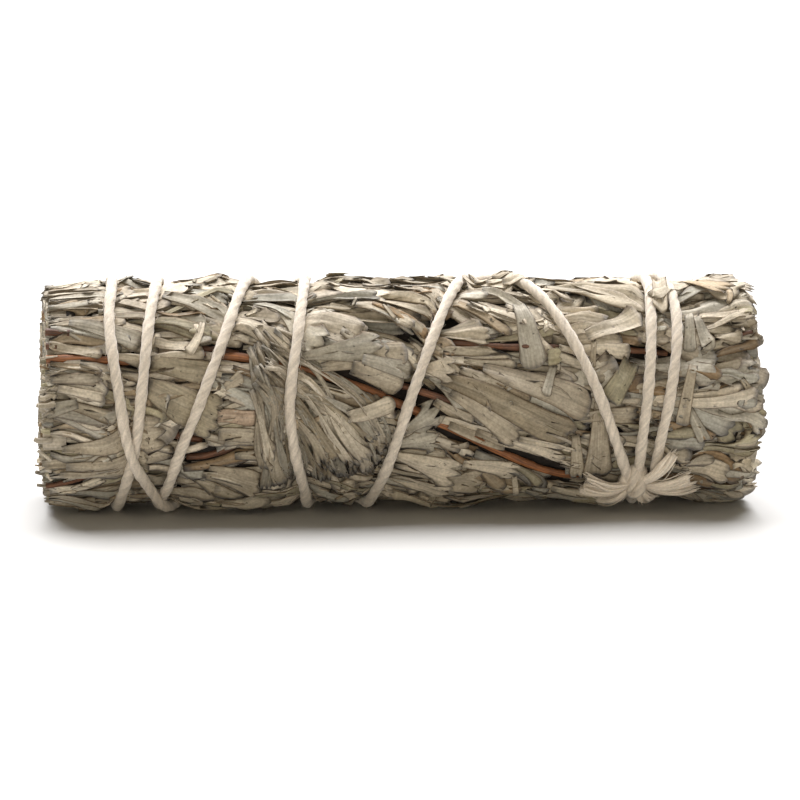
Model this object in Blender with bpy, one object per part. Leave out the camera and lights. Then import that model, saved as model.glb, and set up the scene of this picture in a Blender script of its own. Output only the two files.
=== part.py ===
"""A bunch of dried sagebrush sprigs, pressed into a short roll and bound with one length of cotton cord.

The roll lies along X on the plane Z = 0, stem butts at -X, leaf tips pointing to +X, both ends cut square.
Angles go round the roll's axis in degrees: 0 faces the front (-Y), 90 is up, -90 is the side it lies on.
Each sprig is a woody stem and its leaves: eight sprigs make the outside, and three fill the middle.
"""

import math
import random

import bmesh
import bpy
from mathutils import Vector, noise

# The roll
HALF_LENGTH = 0.0505  # from the middle to each cut end
AXIS_HEIGHT = 0.0160  # the roll's axis above the surface that it lies on
SEAT_RADIUS = 0.0150  # where the cord has pulled the leaves in
BULGE = 0.0021  # how far the leaves swell out between the cords
GROOVE_WIDTH = 0.0022  # how far from a cord the swelling starts
CORE_DENTS = 0.0002  # how unevenly the packed leaves lie
GROOVE_DEPTH = 0.0003  # the leaves under a cord lie this far below its seat
END_TAPER = 0.0004  # the butt end is this much thicker than the tip end
SOLE_ANGLE = 17  # half of the flat that the roll is pressed to, in degrees
INNER_RADIUS = 0.0088  # between the middle sprigs and the outer ones
GAP = 0.0003  # between two pieces that lie against each other
END_CRUMPLE = 0.0006  # how unevenly the cut ends lie

# The sprigs
OUTER_SPRIGS = (  # each sprig's middle line: its angle at the butt end and at the tip end
    (31, -38),
    (76, 33),
    (121, 92),
    (166, 146),
    (211, 197),
    (248, 236),
    (292, 266),
    (340, 296),
)
INNER_SPRIGS = (0, 120, 240)
TURN_START, TURN_END = -0.020, 0.030  # the stretch where the sprigs slant from one angle to the other
STATIONS = 12  # cross-sections along a sprig
CORE_DEPTH = 0.0003  # how far the packed leaves lie below the cord's seat

# The leaves: a wedge that widens to three blunt teeth, or a narrow strap
LEAF_THICKNESS = 0.0007
ROW_PITCH = 0.0135  # about how far one leaf's root is from the next along the roll
COLUMN_WIDTH = 0.0062  # about how much of the way round one row of leaves takes
LEAF_OVERLAP = 1.4  # a leaf's length as a share of the distance to the next root
SHORTEST_LEAF = 0.0050
LEAF_TO_SIDE = 0.0005  # how far a leaf keeps from the next sprig
LEAF_TO_CORD = 0.0015  # a leaf's tip stops this far from the middle of a cord
LEAF_CUP = (-0.0001, 0.0003)  # how far a leaf's edges stand up, from least to most
TIP_DROP = 0.0004  # how far at most a tip hangs below the outermost leaves
ROOT_SUNK = 0.0003  # how deep a leaf's root is sunk in the packed leaves
EDGE_STEP = 0.0002  # keeps apart the points of a leaf that is held in by the next sprig
WEDGE_EDGE = ((0.0, 0.35), (0.45, 0.70), (0.92, 1.00), (0.82, 0.40), (1.0, 0.24))
WEDGE_FACES = ((0, 1, 6, 5), (1, 3, 8, 6), (1, 2, 3), (6, 8, 7), (3, 4, 9, 8))
STRAP_EDGE = ((0.0, 0.35), (0.50, 0.80), (1.0, 0.40))
STRAP_FACES = ((0, 1, 4, 3), (1, 2, 5, 4))

# The stems
STEM_BUTT_RADIUS = 0.0009
STEM_TIP_RADIUS = 0.0006
STEM_PROUD = 0.0006  # a stem stands this far out of each cut end
STEM_SIDES = 6
STEM_POINTS = 10
STEM_BURIED = 0.0030  # a covered stem's depth below the seat of the cord
STEM_UNDER_CORD = 0.0002  # a bare stem's top lies this far below the seat of the cord
INNER_STEM_SHARE = 0.55  # how far out the inner stems lie, as a share of the inner radius
SHOWN_STEMS = {  # the stretches of each outer sprig's stem that lie bare on the roll
    0: ((-0.060, -0.038), (-0.027, 0.027)),
    1: ((0.003, 0.060),),
    3: ((-0.030, -0.005),),
    5: ((0.012, 0.034),),
    7: ((-0.037, -0.020),),
}

# The cord
CORD_DIAMETER = 0.0015
CORD_SIDES = 6
CORD_STEP = 5  # degrees of the roll from one point of the cord to the next where it crosses itself
CORD_STEPS_APART = 4  # only one step in so many is kept where it runs alone
CROSSING_REACH = 0.0020  # closer than this to an earlier stretch, every step is kept
PASS_ANGLES = (110, 85, 45, 5, -20, -50, -75, -135)
CORD_START = ((-43, 0.0318), (-75, 0.0313), (-135, 0.0322))
CORD_PASSES = (  # where each pass over the front and under the roll crosses PASS_ANGLES, along X
    (0.0350, 0.0352, 0.0340, 0.0328, 0.0323, 0.0327, 0.0332, 0.0342),
    (0.0374, 0.0378, 0.0377, 0.0360, 0.0349, 0.0349, 0.0352, 0.0362),
    (0.0110, 0.0082, 0.0036, -0.0008, -0.0028, -0.0046, -0.0056, -0.0095),
    (-0.0208, -0.0225, -0.0258, -0.0300, -0.0326, -0.0343, -0.0349, -0.0350),
    (-0.0343, -0.0350, -0.0368, -0.0382, -0.0389, -0.0403, -0.0408, -0.0410),
    (-0.0411, -0.0413, -0.0422, -0.0410, -0.0396, -0.0361, -0.0326, -0.0270),
    (-0.0137, -0.0141, -0.0159, -0.0176, -0.0168, -0.0148, -0.0135, -0.0065),
    (0.0137, 0.0166, 0.0213, 0.0261, 0.0288, 0.0320),
)
CORD_JOINTS = (-715, -2075)  # route angles where one stretch of cord ends inside the next
CORD_END = -2926
CROSSING_LIFT = 0.00135  # a stretch that passes over an earlier one stands this much higher
KNOT_X, KNOT_ANGLE = 0.0322, -44
KNOT_RADIUS = 0.0172  # from the roll's axis to the middle of the knot
KNOT_BANDS = ((-0.0007, 0.0017, 0.0013), (0.0008, 0.0016, 0.0015))  # offset along X, half span, rise
TAILS = (  # each frayed end: where it points, along X and up the roll, and its length
    (0.0036, 0.0042),
    (0.0063, 0.0018),
    (0.0072, -0.0002),
    (0.0062, -0.0018),
    (-0.0046, 0.0004),
    (-0.0070, -0.0016),
)
TAIL_ROOT_RADIUS = 0.00055
TAIL_END_RADIUS = 0.00075

# The cut edges of leaves on both ends: from and to this radius, spread in degrees, and how many
OUTER_CUT_EDGES = (0.0103, 0.0133, 9, 3)
INNER_CUT_EDGES = (0.0028, 0.0065, 32, 3)

SAGE = (0.31, 0.27, 0.20)
WOOD = (0.22, 0.09, 0.04)
COTTON = (0.62, 0.56, 0.46)

SEED = 4
DRAWS = 20  # how often a sprig's leaves may be drawn afresh
WELD_DISTANCE = 1e-6
STRAIGHT_WITHIN = 3e-6

draw = random.Random()


def smooth_step(value):
    value = min(max(value, 0.0), 1.0)
    return value * value * (3 - 2 * value)


def from_bottom(angle):
    """How far an angle is from the underside, in degrees, from 0 to 180."""
    return abs((angle + 90 + 180) % 360 - 180)


def floor_limit(angle, clearance=0.0):
    """The radius at which the surface under the roll is met, less a clearance."""
    slope = math.cos(math.radians(from_bottom(angle)))
    return (AXIS_HEIGHT - clearance) / slope if slope > 0.1 else 1.0


def place(x, angle, radius):
    """The point at this distance from the roll's axis."""
    turn = math.radians(angle)
    return Vector((x, -radius * math.cos(turn), AXIS_HEIGHT + radius * math.sin(turn)))


def cubic_through(knots, at):
    """A smooth curve through (angle, value) knots whose angles fall."""
    last = len(knots) - 2
    i = next((n for n in range(last) if at >= knots[n + 1][0]), last)
    slopes = []
    for n in (i, i + 1):
        before, after = knots[max(n - 1, 0)], knots[min(n + 1, len(knots) - 1)]
        slopes.append((after[1] - before[1]) / (after[0] - before[0]))
    (a0, v0), (a1, v1) = knots[i], knots[i + 1]
    t, span = (at - a0) / (a1 - a0), a1 - a0
    ends = (2 * t**3 - 3 * t**2 + 1) * v0 + (3 * t**2 - 2 * t**3) * v1
    return ends + span * ((t**3 - 2 * t**2 + t) * slopes[0] + (t**3 - t**2) * slopes[1])


def cord_knots():
    """The cord's whole route from the knot round to the knot, as (route angle, x)."""
    knots = list(CORD_START)
    for number, places in enumerate(CORD_PASSES):
        turned = -360 * (number + 1)
        knots += [(angle + turned, x) for angle, x in zip(PASS_ANGLES, places)]
    return knots


def route_between(start, end):
    """Evenly spaced (route angle, x) along the cord."""
    steps = round((start - end) / CORD_STEP)
    angles = [start + (end - start) * n / steps for n in range(steps + 1)]
    return [(angle, cubic_through(CORD_KNOTS, angle)) for angle in angles]


def unrolled_gap(x, angle, route):
    """The distance over the roll's surface from a point to the nearest point of a route."""
    nearest = 1.0
    for other_angle, other_x in route:
        along = x - other_x
        if abs(along) > nearest:
            continue
        round_the_roll = ((angle - other_angle + 180) % 360 - 180) * math.pi / 180 * SEAT_RADIUS
        nearest = min(nearest, math.hypot(along, round_the_roll))
    return nearest


CORD_KNOTS = cord_knots()
FINE_ROUTE = route_between(CORD_START[0][0], CORD_END)


def swelling(x, angle):
    """How far the leaves stand out past the cord's seat."""
    gap = unrolled_gap(x, angle, FINE_ROUTE)
    return BULGE * (1 - math.exp(-((gap / GROOVE_WIDTH) ** 2)))


def leaf_radius(x, angle):
    """The radius of the outermost leaves."""
    seat = min(SEAT_RADIUS, floor_limit(angle, CORD_DIAMETER + GAP))
    turn = math.radians(angle)
    lump = 1 + noise.noise(Vector((x * 150, math.cos(turn) * 3, math.sin(turn) * 3))) * 0.35
    taper = -END_TAPER * x / HALF_LENGTH
    return min(seat - GROOVE_DEPTH + lump * (swelling(x, angle) + GROOVE_DEPTH) + taper, floor_limit(angle))


def core_radius(x, angle):
    """The packed leaves under the outermost ones. On the sole they are pressed flat."""
    sole = 1 - smooth_step((from_bottom(angle) - SOLE_ANGLE) / 8)
    packed = SEAT_RADIUS - CORE_DEPTH - END_TAPER * x / HALF_LENGTH
    return min(packed + (AXIS_HEIGHT + BULGE - packed) * sole, floor_limit(angle))


def sprig_middle(number, x):
    """The angle of an outer sprig's middle line at x."""
    turns, number = divmod(number, len(OUTER_SPRIGS))
    butt, tip = OUTER_SPRIGS[number]
    return butt + (tip - butt) * smooth_step((x - TURN_START) / (TURN_END - TURN_START)) + 360 * turns


def sprig_sides(number, x):
    """The two angles between which an outer sprig lies at x."""
    middle = sprig_middle(number, x)
    return (sprig_middle(number - 1, x) + middle) / 2, (middle + sprig_middle(number + 1, x)) / 2


def material(name, colour, roughness):
    made = bpy.data.materials.new(name)
    made.use_nodes = True
    shader = made.node_tree.nodes["Principled BSDF"]
    shader.inputs["Base Color"].default_value = (*colour, 1)
    shader.inputs["Roughness"].default_value = roughness
    shader.inputs["Metallic"].default_value = 0
    return made


def new_object(name, points, faces, surface=None):
    """A mesh object in triangles: a Boolean of bent faces could leave folded ones."""
    mesh = bpy.data.meshes.new(name)
    mesh.from_pydata(points, [], faces)
    made = bpy.data.objects.new(name, mesh)
    bpy.context.scene.collection.objects.link(made)
    shape = bmesh.new()
    shape.from_mesh(mesh)
    bmesh.ops.recalc_face_normals(shape, faces=shape.faces)
    bmesh.ops.triangulate(shape, faces=shape.faces)
    shape.to_mesh(mesh)
    shape.free()
    if surface:
        mesh.materials.append(surface)
    return made


def loft(name, rings, surface=None):
    """A closed solid through rings of points, each end shut by a fan to its middle."""
    size = len(rings[0])
    points = [point for ring in rings for point in ring]
    faces = []
    for ring in range(len(rings) - 1):
        for n in range(size):
            a, b = ring * size + n, ring * size + (n + 1) % size
            faces.append((a, b, b + size, a + size))
    for start, ring in ((0, rings[0]), ((len(rings) - 1) * size, rings[-1])):
        middle = sum(ring, Vector()) / size
        points.append(middle)
        faces += [(start + n, start + (n + 1) % size, len(points) - 1) for n in range(size)]
    return new_object(name, points, faces, surface)


def tube(name, path, radii, sides, surface=None):
    """A round bar along a path, its rings kept from twisting."""
    rings = []
    across = None
    for n, point in enumerate(path):
        ahead = (path[min(n + 1, len(path) - 1)] - path[max(n - 1, 0)]).normalized()
        across = ahead.orthogonal() if across is None else across - ahead * across.dot(ahead)
        across.normalize()
        other = ahead.cross(across)
        turns = [2 * math.pi * k / sides for k in range(sides)]
        rings.append([point + (across * math.cos(t) + other * math.sin(t)) * radii[n] for t in turns])
    made = loft(name, rings, surface)
    for face in made.data.polygons:
        face.use_smooth = True
    return made


def hidden_collection(name, objects):
    """Puts helpers in one collection for a Boolean to read."""
    made = bpy.data.collections.new(name)
    bpy.context.scene.collection.children.link(made)
    for obj in objects:
        for owner in list(obj.users_collection):
            owner.objects.unlink(obj)
        made.objects.link(obj)
        obj.hide_render = True
        obj.display_type = "WIRE"
    return made


def combine(obj, operation, collection):
    """Applies one Boolean with all the objects of a collection.

    The default solver left the leaves closed too, but with more triangles.
    """
    modifier = obj.modifiers.new(operation, "BOOLEAN")
    modifier.operation = operation
    modifier.operand_type = "COLLECTION"
    modifier.collection = collection
    modifier.solver = "MANIFOLD"
    graph = bpy.context.evaluated_depsgraph_get()
    result = bpy.data.meshes.new_from_object(obj.evaluated_get(graph))
    obj.modifiers.clear()
    obj.data = result


def remove_objects(objects):
    for obj in list(objects):
        bpy.data.objects.remove(obj)


def lies_on_a_straight_edge(vert):
    """Whether a vertex only splits an edge that runs straight on."""
    if len(vert.link_edges) != 2:
        return False
    before, after = (edge.other_vert(vert).co for edge in vert.link_edges)
    along = (after - before).normalized()
    aside = (vert.co - before).cross(along)
    return aside.length < STRAIGHT_WITHIN


def keep_largest(obj):
    """Drops the scraps that a cut has left loose, and splits the faces into triangles."""
    shape = bmesh.new()
    shape.from_mesh(obj.data)
    straight = [vert for vert in shape.verts if lies_on_a_straight_edge(vert)]
    bmesh.ops.dissolve_verts(shape, verts=straight)
    bmesh.ops.triangulate(shape, faces=shape.faces)
    todo, islands = set(shape.verts), []
    while todo:
        island, edge = set(), [next(iter(todo))]
        while edge:
            vert = edge.pop()
            if vert in island:
                continue
            island.add(vert)
            edge += [other.other_vert(vert) for other in vert.link_edges]
        todo -= island
        islands.append(island)
    islands.sort(key=len)
    loose = [vert for island in islands[:-1] for vert in island]
    bmesh.ops.delete(shape, geom=loose, context="VERTS")
    shape.to_mesh(obj.data)
    shape.free()


def outer_core(number, surface):
    """The packed leaves of an outer sprig: a wedge of the roll, crumpled on its cut ends."""
    across, within = 5, 2
    rings = []
    for station in range(STATIONS):
        x = -HALF_LENGTH + 2 * HALF_LENGTH * station / (STATIONS - 1)
        low, high = sprig_sides(number, x)
        ring = []
        for n in range(across + 1):
            margin = math.degrees(GAP / 2 / SEAT_RADIUS)
            angle = low + margin + (high - low - 2 * margin) * n / across
            dent = draw.uniform(0, CORE_DENTS) if from_bottom(angle) > SOLE_ANGLE else 0
            ring.append(place(x, angle, core_radius(x, angle) - dent))
        for n in range(within, -1, -1):
            margin = math.degrees(GAP / 2 / INNER_RADIUS)
            angle = low + margin + (high - low - 2 * margin) * n / within
            ring.append(place(x, angle, INNER_RADIUS + 2 * GAP))
        rings.append(ring)
    for ring in (rings[0], rings[-1]):
        for point in ring:
            point.x += draw.uniform(-END_CRUMPLE, END_CRUMPLE)
    return loft("outer_core", rings, surface)


def inner_core(number, surface):
    """The packed leaves of one of the sprigs in the middle of the roll."""
    middle = INNER_SPRIGS[number]
    across = 6
    rings = []
    for station in range(4):
        x = -HALF_LENGTH + 2 * HALF_LENGTH * station / 3
        ring = [place(x, middle, GAP)]
        for n in range(across + 1):
            margin = math.degrees(GAP / 2 / INNER_RADIUS)
            angle = middle - 60 + margin + (120 - 2 * margin) * n / across
            ring.append(place(x, angle, INNER_RADIUS - GAP / 2))
        rings.append(ring)
    for ring in (rings[0], rings[-1]):
        for point in ring:
            point.x += draw.uniform(-END_CRUMPLE, END_CRUMPLE)
    return loft("inner_core", rings, surface)


def blade(name, edge, faces, point_at):
    """A thin leaf.

    point_at gives the place of a share of its length and half width, on its outer or inner face.
    """
    rim = [(along, -across) for along, across in edge] + list(edge)
    half = len(edge)
    points = [point_at(along, across, inner) for inner in (False, True) for along, across in rim]
    count = len(rim)
    inner = [tuple(corner + count for corner in reversed(face)) for face in faces]
    loop = list(range(half)) + list(range(count - 1, half - 1, -1))
    walls = [(a, b, b + count, a + count) for a, b in zip(loop, loop[1:] + loop[:1])]
    return new_object(name, points, list(faces) + inner + walls)


def stem_is_bare(number, x):
    return any(start < x < end for start, end in SHOWN_STEMS.get(number, ()))


def leaf_on_roll(number, name, root, aside, slant, length, half_width, strap):
    """A leaf of an outer sprig: its root sunk in the packed leaves and its tip lying on top."""
    cup = draw.uniform(*LEAF_CUP)
    lean = math.tan(math.radians(slant))
    tip_drop = draw.uniform(0.0, TIP_DROP)

    def point_at(along, across, inner):
        x = root + along * length - across * half_width * lean
        sideways = aside + along * length * lean + across * half_width
        angle = sprig_middle(number, x) + math.degrees(sideways / SEAT_RADIUS)
        low, high = sprig_sides(number, x)
        step = math.degrees(EDGE_STEP / SEAT_RADIUS)
        margin = math.degrees(LEAF_TO_SIDE / SEAT_RADIUS)
        angle = min(max(angle, low + margin + (1 + across) * step), high - margin - (1 - across) * step)
        rise = smooth_step(along / 0.4)
        sunk = SEAT_RADIUS - CORE_DEPTH - ROOT_SUNK
        top = leaf_radius(x, angle) - tip_drop * along + cup * abs(across)
        radius = min(sunk + (top - sunk) * rise, floor_limit(angle, 0.00015 + tip_drop / 2))
        return place(x, angle, radius - (LEAF_THICKNESS if inner else 0))

    edge, faces = (STRAP_EDGE, STRAP_FACES) if strap else (WEDGE_EDGE, WEDGE_FACES)
    return blade(name, edge, faces, point_at)


def open_stretches(number, aside):
    """The stretches along a sprig, this far aside of its middle line, that no cord crosses."""
    step = 0.0005
    stretches, start = [], None
    for n in range(round(2 * HALF_LENGTH / step) + 1):
        x = -HALF_LENGTH + n * step
        angle = sprig_middle(number, x) + math.degrees(aside / SEAT_RADIUS)
        covered = unrolled_gap(x, angle, FINE_ROUTE) < LEAF_TO_CORD
        if covered and start is not None:
            stretches.append((start, x))
            start = None
        elif not covered and start is None:
            start = x
    if start is not None:
        stretches.append((start, HALF_LENGTH + 0.0008))
    return stretches


def leaves_of(number):
    """The rows of leaves of an outer sprig, between one cord and the next."""
    made = []
    low, high = sprig_sides(number, 0)
    width = math.radians(high - low) * SEAT_RADIUS
    columns = max(1, round(width / COLUMN_WIDTH))
    for column in range(columns):
        pitch = width / columns
        aside = pitch * (column + 0.5 - columns / 2)
        for start, end in open_stretches(number, aside):
            count = max(1, round((end - start) / ROW_PITCH))
            reach = (end - start) / count
            for n in range(count):
                root = start + n * reach + draw.uniform(-0.0006, 0.0004)
                length = min(reach * LEAF_OVERLAP * draw.uniform(0.85, 1.1), end - root)
                if length < SHORTEST_LEAF:
                    continue
                bare = any(stem_is_bare(number, root + length * share) for share in (0.2, 0.5, 0.8))
                half_width = pitch / 2 * draw.uniform(0.85, 1.1)
                shift = draw.uniform(-0.0008, 0.0008)
                slant = draw.uniform(-8, 8)
                if bare and abs(aside) < 0.0015:
                    continue
                if bare:
                    half_width = pitch * 0.36
                    shift = math.copysign(pitch * 0.12, aside)
                    slant = 0.0
                strap = draw.random() < (0.8 if root < -0.030 else 0.3)
                name = f"leaf_{number}_{column}_{len(made)}"
                made.append(leaf_on_roll(number, name, root, aside + shift, slant, length, half_width, strap))
    return made


def cut_edges(middle_at, extent):
    """The cut edges of leaves that stand a little out of both ends of a sprig."""
    inner, outer, spread, count = extent
    made = []
    for side in (-1, 1):
        for n in range(count):
            x = side * HALF_LENGTH
            angle = middle_at(x) + draw.uniform(-spread, spread)
            radius = inner + (outer - inner) * (n + draw.random()) / count
            middle = place(x, angle, radius)
            lean = draw.uniform(0, math.pi)
            half = draw.uniform(0.0009, 0.0015)
            along = Vector((0, math.cos(lean), math.sin(lean))) * half
            thick = Vector((0, -math.sin(lean), math.cos(lean))) * 0.0003
            deep, proud = Vector((side * -0.002, 0, 0)), Vector((side * draw.uniform(0.0006, 0.0013), 0, 0))
            corners = [along + thick, along - thick, -along - thick, -along + thick]
            rings = [[middle + corner + step for corner in corners] for step in (deep, proud)]
            made.append(loft(f"cut_edge_{side}_{n}", rings))
    return made


def outer_cut_edges(number):
    return cut_edges(lambda x: sprig_middle(number, x), OUTER_CUT_EDGES)


def inner_cut_edges(number):
    return cut_edges(lambda x: INNER_SPRIGS[number], INNER_CUT_EDGES)


def stem_path(middle_at, radius_at, steps=STEM_POINTS):
    ends = HALF_LENGTH + STEM_PROUD
    path = []
    for n in range(steps + 1):
        x = -ends + 2 * ends * n / steps
        path.append(place(x, middle_at(x), radius_at(x)))
    return path


def outer_stem_path(number):
    """The stem runs deep under the leaves, and just under the cord's seat where it lies bare."""
    def radius_at(x):
        bare = 0.0
        for start, end in SHOWN_STEMS.get(number, ()):
            bare = max(bare, smooth_step((x - start) / 0.006) * smooth_step((end - x) / 0.006))
        seat = min(SEAT_RADIUS, floor_limit(sprig_middle(number, x), CORD_DIAMETER + GAP))
        shown = seat - STEM_BUTT_RADIUS - STEM_UNDER_CORD
        return seat - STEM_BURIED + (shown - seat + STEM_BURIED) * bare

    return stem_path(lambda x: sprig_middle(number, x), radius_at)


def inner_stem_path(number):
    return stem_path(lambda x: INNER_SPRIGS[number], lambda x: INNER_RADIUS * INNER_STEM_SHARE, 3)


def stem_radii(path, extra=0.0):
    fall = STEM_BUTT_RADIUS - STEM_TIP_RADIUS
    return [STEM_BUTT_RADIUS - fall * n / (len(path) - 1) + extra for n in range(len(path))]


def cord_path(start, end, earlier):
    """Points along one stretch of the cord, lifted where it passes over an earlier one."""
    path = []
    route = route_between(start, end)
    for n, (angle, x) in enumerate(route):
        away = unrolled_gap(x, angle, earlier)
        if away > CROSSING_REACH and n % CORD_STEPS_APART and n < len(route) - 1:
            continue
        radius = SEAT_RADIUS + GAP + CORD_DIAMETER / 2
        radius += CROSSING_LIFT * math.exp(-((away / CORD_DIAMETER) ** 2))
        radius = min(radius, floor_limit(angle, CORD_DIAMETER / 2))
        path.append(place(x, angle, radius))
    return path


def cord_pieces(extra=0.0):
    """The three stretches of the wound cord, the knot and its frayed ends, each a closed solid."""
    first, second = CORD_JOINTS
    start, half = CORD_START[0][0], CORD_DIAMETER / 2 + extra
    passed = [p for p in FINE_ROUTE if p[0] > first + 60]
    passed_twice = [p for p in FINE_ROUTE if p[0] > second + 60]
    stretches = [
        (cord_path(start, first, ()), 1.0),
        (cord_path(first + 4, second, passed), 0.97),
        (cord_path(second + 4, CORD_END, passed_twice), 1.0),
    ]
    made = []
    for n, (path, thickness) in enumerate(stretches):
        made.append(tube(f"cord_{n}", path, [half * thickness] * len(path), CORD_SIDES))
    for n, (offset, span, rise) in enumerate(KNOT_BANDS):
        path = []
        for step in range(7):
            turn = math.pi * (step / 6 * 1.3 - 0.15)
            angle = KNOT_ANGLE + math.degrees(math.cos(turn) * span / KNOT_RADIUS)
            path.append(place(KNOT_X + offset, angle, KNOT_RADIUS - 0.0006 + math.sin(turn) * rise))
        made.append(tube(f"knot_band_{n}", path, [half] * len(path), CORD_SIDES))
    for n, (along, up) in enumerate(TAILS):
        path = []
        for step in range(4):
            share = step / 3
            angle = KNOT_ANGLE + math.degrees(up * share / KNOT_RADIUS)
            hump = 0.0005 * math.sin(share * math.pi)
            path.append(place(KNOT_X + along * share, angle, KNOT_RADIUS + 0.0003 + hump + 0.0004 * share))
        fall = TAIL_END_RADIUS - TAIL_ROOT_RADIUS
        radii = [TAIL_ROOT_RADIUS + fall * step / 3 + extra for step in range(4)]
        made.append(tube(f"tail_{n}", path, radii, 5))
    return made


def build_cord(surface):
    pieces = cord_pieces()
    cord, rest = pieces[0], hidden_collection("cord_parts", pieces[1:])
    cord.name = "cotton_cord"
    combine(cord, "UNION", rest)
    remove_objects(rest.objects)
    cord.data.materials.clear()
    cord.data.materials.append(surface)
    keep_largest(cord)


def touches_itself(obj):
    """Whether two stretches of the surface meet along an edge once the nearest points are welded."""
    shape = bmesh.new()
    shape.from_mesh(obj.data)
    bmesh.ops.dissolve_degenerate(shape, edges=shape.edges, dist=WELD_DISTANCE)
    bmesh.ops.remove_doubles(shape, verts=shape.verts, dist=WELD_DISTANCE)
    touching = any(len(edge.link_faces) != 2 for edge in shape.edges)
    shape.free()
    return touching


def build_sprig(name, make_core, make_repeats, cutters):
    """Fuses a sprig's leaves to its core, and clears the room that the cord and stem take.

    Where the surface comes out touching itself, the leaves are drawn afresh.
    """
    for attempt in range(SEED, SEED + DRAWS):
        draw.seed(f"{name} {attempt}")
        core = make_core()
        core.name = name
        growing = hidden_collection(f"{name}_repeats_{attempt}", make_repeats())
        combine(core, "UNION", growing)
        remove_objects(growing.objects)
        combine(core, "DIFFERENCE", cutters)
        keep_largest(core)
        if not touches_itself(core):
            return
        bpy.data.objects.remove(core)
    raise ValueError(f"{name} touches itself in every draw")


def main():
    remove_objects(bpy.data.objects)
    sage = material("dried_sage", SAGE, 0.9)
    wood = material("stem_bark", WOOD, 0.7)
    cotton = material("cotton", COTTON, 0.95)
    cutting = cord_pieces(GAP)
    outer, inner = range(len(OUTER_SPRIGS)), range(len(INNER_SPRIGS))
    paths = {f"outer_sprig_{n + 1}": outer_stem_path(n) for n in outer}
    paths.update({f"inner_sprig_{n + 1}": inner_stem_path(n) for n in inner})
    for name, path in paths.items():
        tube(name + "_stem", path, stem_radii(path), STEM_SIDES, wood)
        cutting.append(tube(name + "_channel", path, stem_radii(path, GAP), STEM_SIDES))
    cutters = hidden_collection("clearances", cutting)
    for n in outer:
        name = f"outer_sprig_{n + 1}_leaves"
        build_sprig(name, lambda: outer_core(n, sage), lambda: leaves_of(n) + outer_cut_edges(n), cutters)
    for n in inner:
        name = f"inner_sprig_{n + 1}_leaves"
        build_sprig(name, lambda: inner_core(n, sage), lambda: inner_cut_edges(n), cutters)
    remove_objects(cutters.objects)
    build_cord(cotton)


main()
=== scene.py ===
"""The looks of the sage bunch: leaves laid one by one, bare twigs, chopped ends and a twisted cotton cord.

The roll lies along X. Angles go round its axis in degrees: 0 faces the front (-Y) and 90 is up. Its leaves
are draped on a height map of the unrolled surface, which has a row for each x and a column for each angle.
"""

import math

import bpy
import numpy as np
from mathutils import Matrix, Vector


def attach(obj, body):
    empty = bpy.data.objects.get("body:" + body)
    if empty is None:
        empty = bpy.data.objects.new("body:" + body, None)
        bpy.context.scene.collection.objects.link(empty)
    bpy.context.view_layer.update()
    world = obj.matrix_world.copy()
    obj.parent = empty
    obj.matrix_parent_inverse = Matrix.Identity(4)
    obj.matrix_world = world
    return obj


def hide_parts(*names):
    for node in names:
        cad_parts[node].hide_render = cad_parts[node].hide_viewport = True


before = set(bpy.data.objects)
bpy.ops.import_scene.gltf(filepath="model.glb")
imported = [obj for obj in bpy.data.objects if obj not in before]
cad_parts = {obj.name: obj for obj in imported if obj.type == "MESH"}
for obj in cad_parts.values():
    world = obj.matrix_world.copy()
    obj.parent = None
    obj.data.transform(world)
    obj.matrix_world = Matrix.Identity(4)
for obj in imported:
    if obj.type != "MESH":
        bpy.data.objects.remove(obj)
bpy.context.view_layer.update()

# The photograph
PHOTO_SIZE = 800
METRES_PER_PIXEL = 0.0001434
CAMERA_AZIMUTH, CAMERA_ELEVATION = -8, 10
CAMERA_ROLL = 0.75
CAMERA_DISTANCE = 0.5
AIM_HEIGHT = 0.0146  # a little under the roll's axis, which the photograph shows above its middle
SENSOR_WIDTH = 36
SEEN_RADIUS = 0.0168  # how far from the roll's axis a pixel's spot is taken to lie

# The roll, as in part.py
HALF_LENGTH = 0.0505
RIGHT_END = 0.0493  # the tip end is ragged: its leaves stop about here
AXIS_HEIGHT = 0.0160
SEAT_RADIUS = 0.0150
GROOVE_DEPTH = 0.0003
BULGE = 0.0021
END_TAPER = 0.0004
GAP = 0.0003
OUTER_SPRIGS = ((31, -38), (76, 33), (121, 92), (166, 146), (211, 197), (248, 236), (292, 266), (340, 296))
INNER_COUNT = 3
TURN_START, TURN_END = -0.020, 0.030

# The cord's route, as in part.py
CORD_DIAMETER = 0.0015
PASS_ANGLES = (110, 85, 45, 5, -20, -50, -75, -135)
CORD_START = ((-43, 0.0318), (-75, 0.0313), (-135, 0.0322))
CORD_PASSES = (
    (0.0350, 0.0352, 0.0340, 0.0328, 0.0323, 0.0327, 0.0332, 0.0342),
    (0.0374, 0.0378, 0.0377, 0.0360, 0.0349, 0.0349, 0.0352, 0.0362),
    (0.0110, 0.0082, 0.0036, -0.0008, -0.0028, -0.0046, -0.0056, -0.0095),
    (-0.0208, -0.0225, -0.0258, -0.0300, -0.0326, -0.0343, -0.0349, -0.0350),
    (-0.0343, -0.0350, -0.0368, -0.0382, -0.0389, -0.0403, -0.0408, -0.0410),
    (-0.0411, -0.0413, -0.0422, -0.0410, -0.0396, -0.0361, -0.0326, -0.0270),
    (-0.0137, -0.0141, -0.0159, -0.0176, -0.0168, -0.0148, -0.0135, -0.0065),
    (0.0137, 0.0166, 0.0213, 0.0261, 0.0288, 0.0320),
)
CORD_END = -2926
CROSSING_LIFT, CROSSING_PRESS = 0.00065, 0.00060
FLOOR_CLEARANCE = 0.0001  # between the floor and what lies lowest
PLIES, PLY_PITCH, PLY_DEPTH = 3, 0.0064, 0.09  # the depth is a share of the cord's radius
FUZZ_COUNT = 3600

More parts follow.
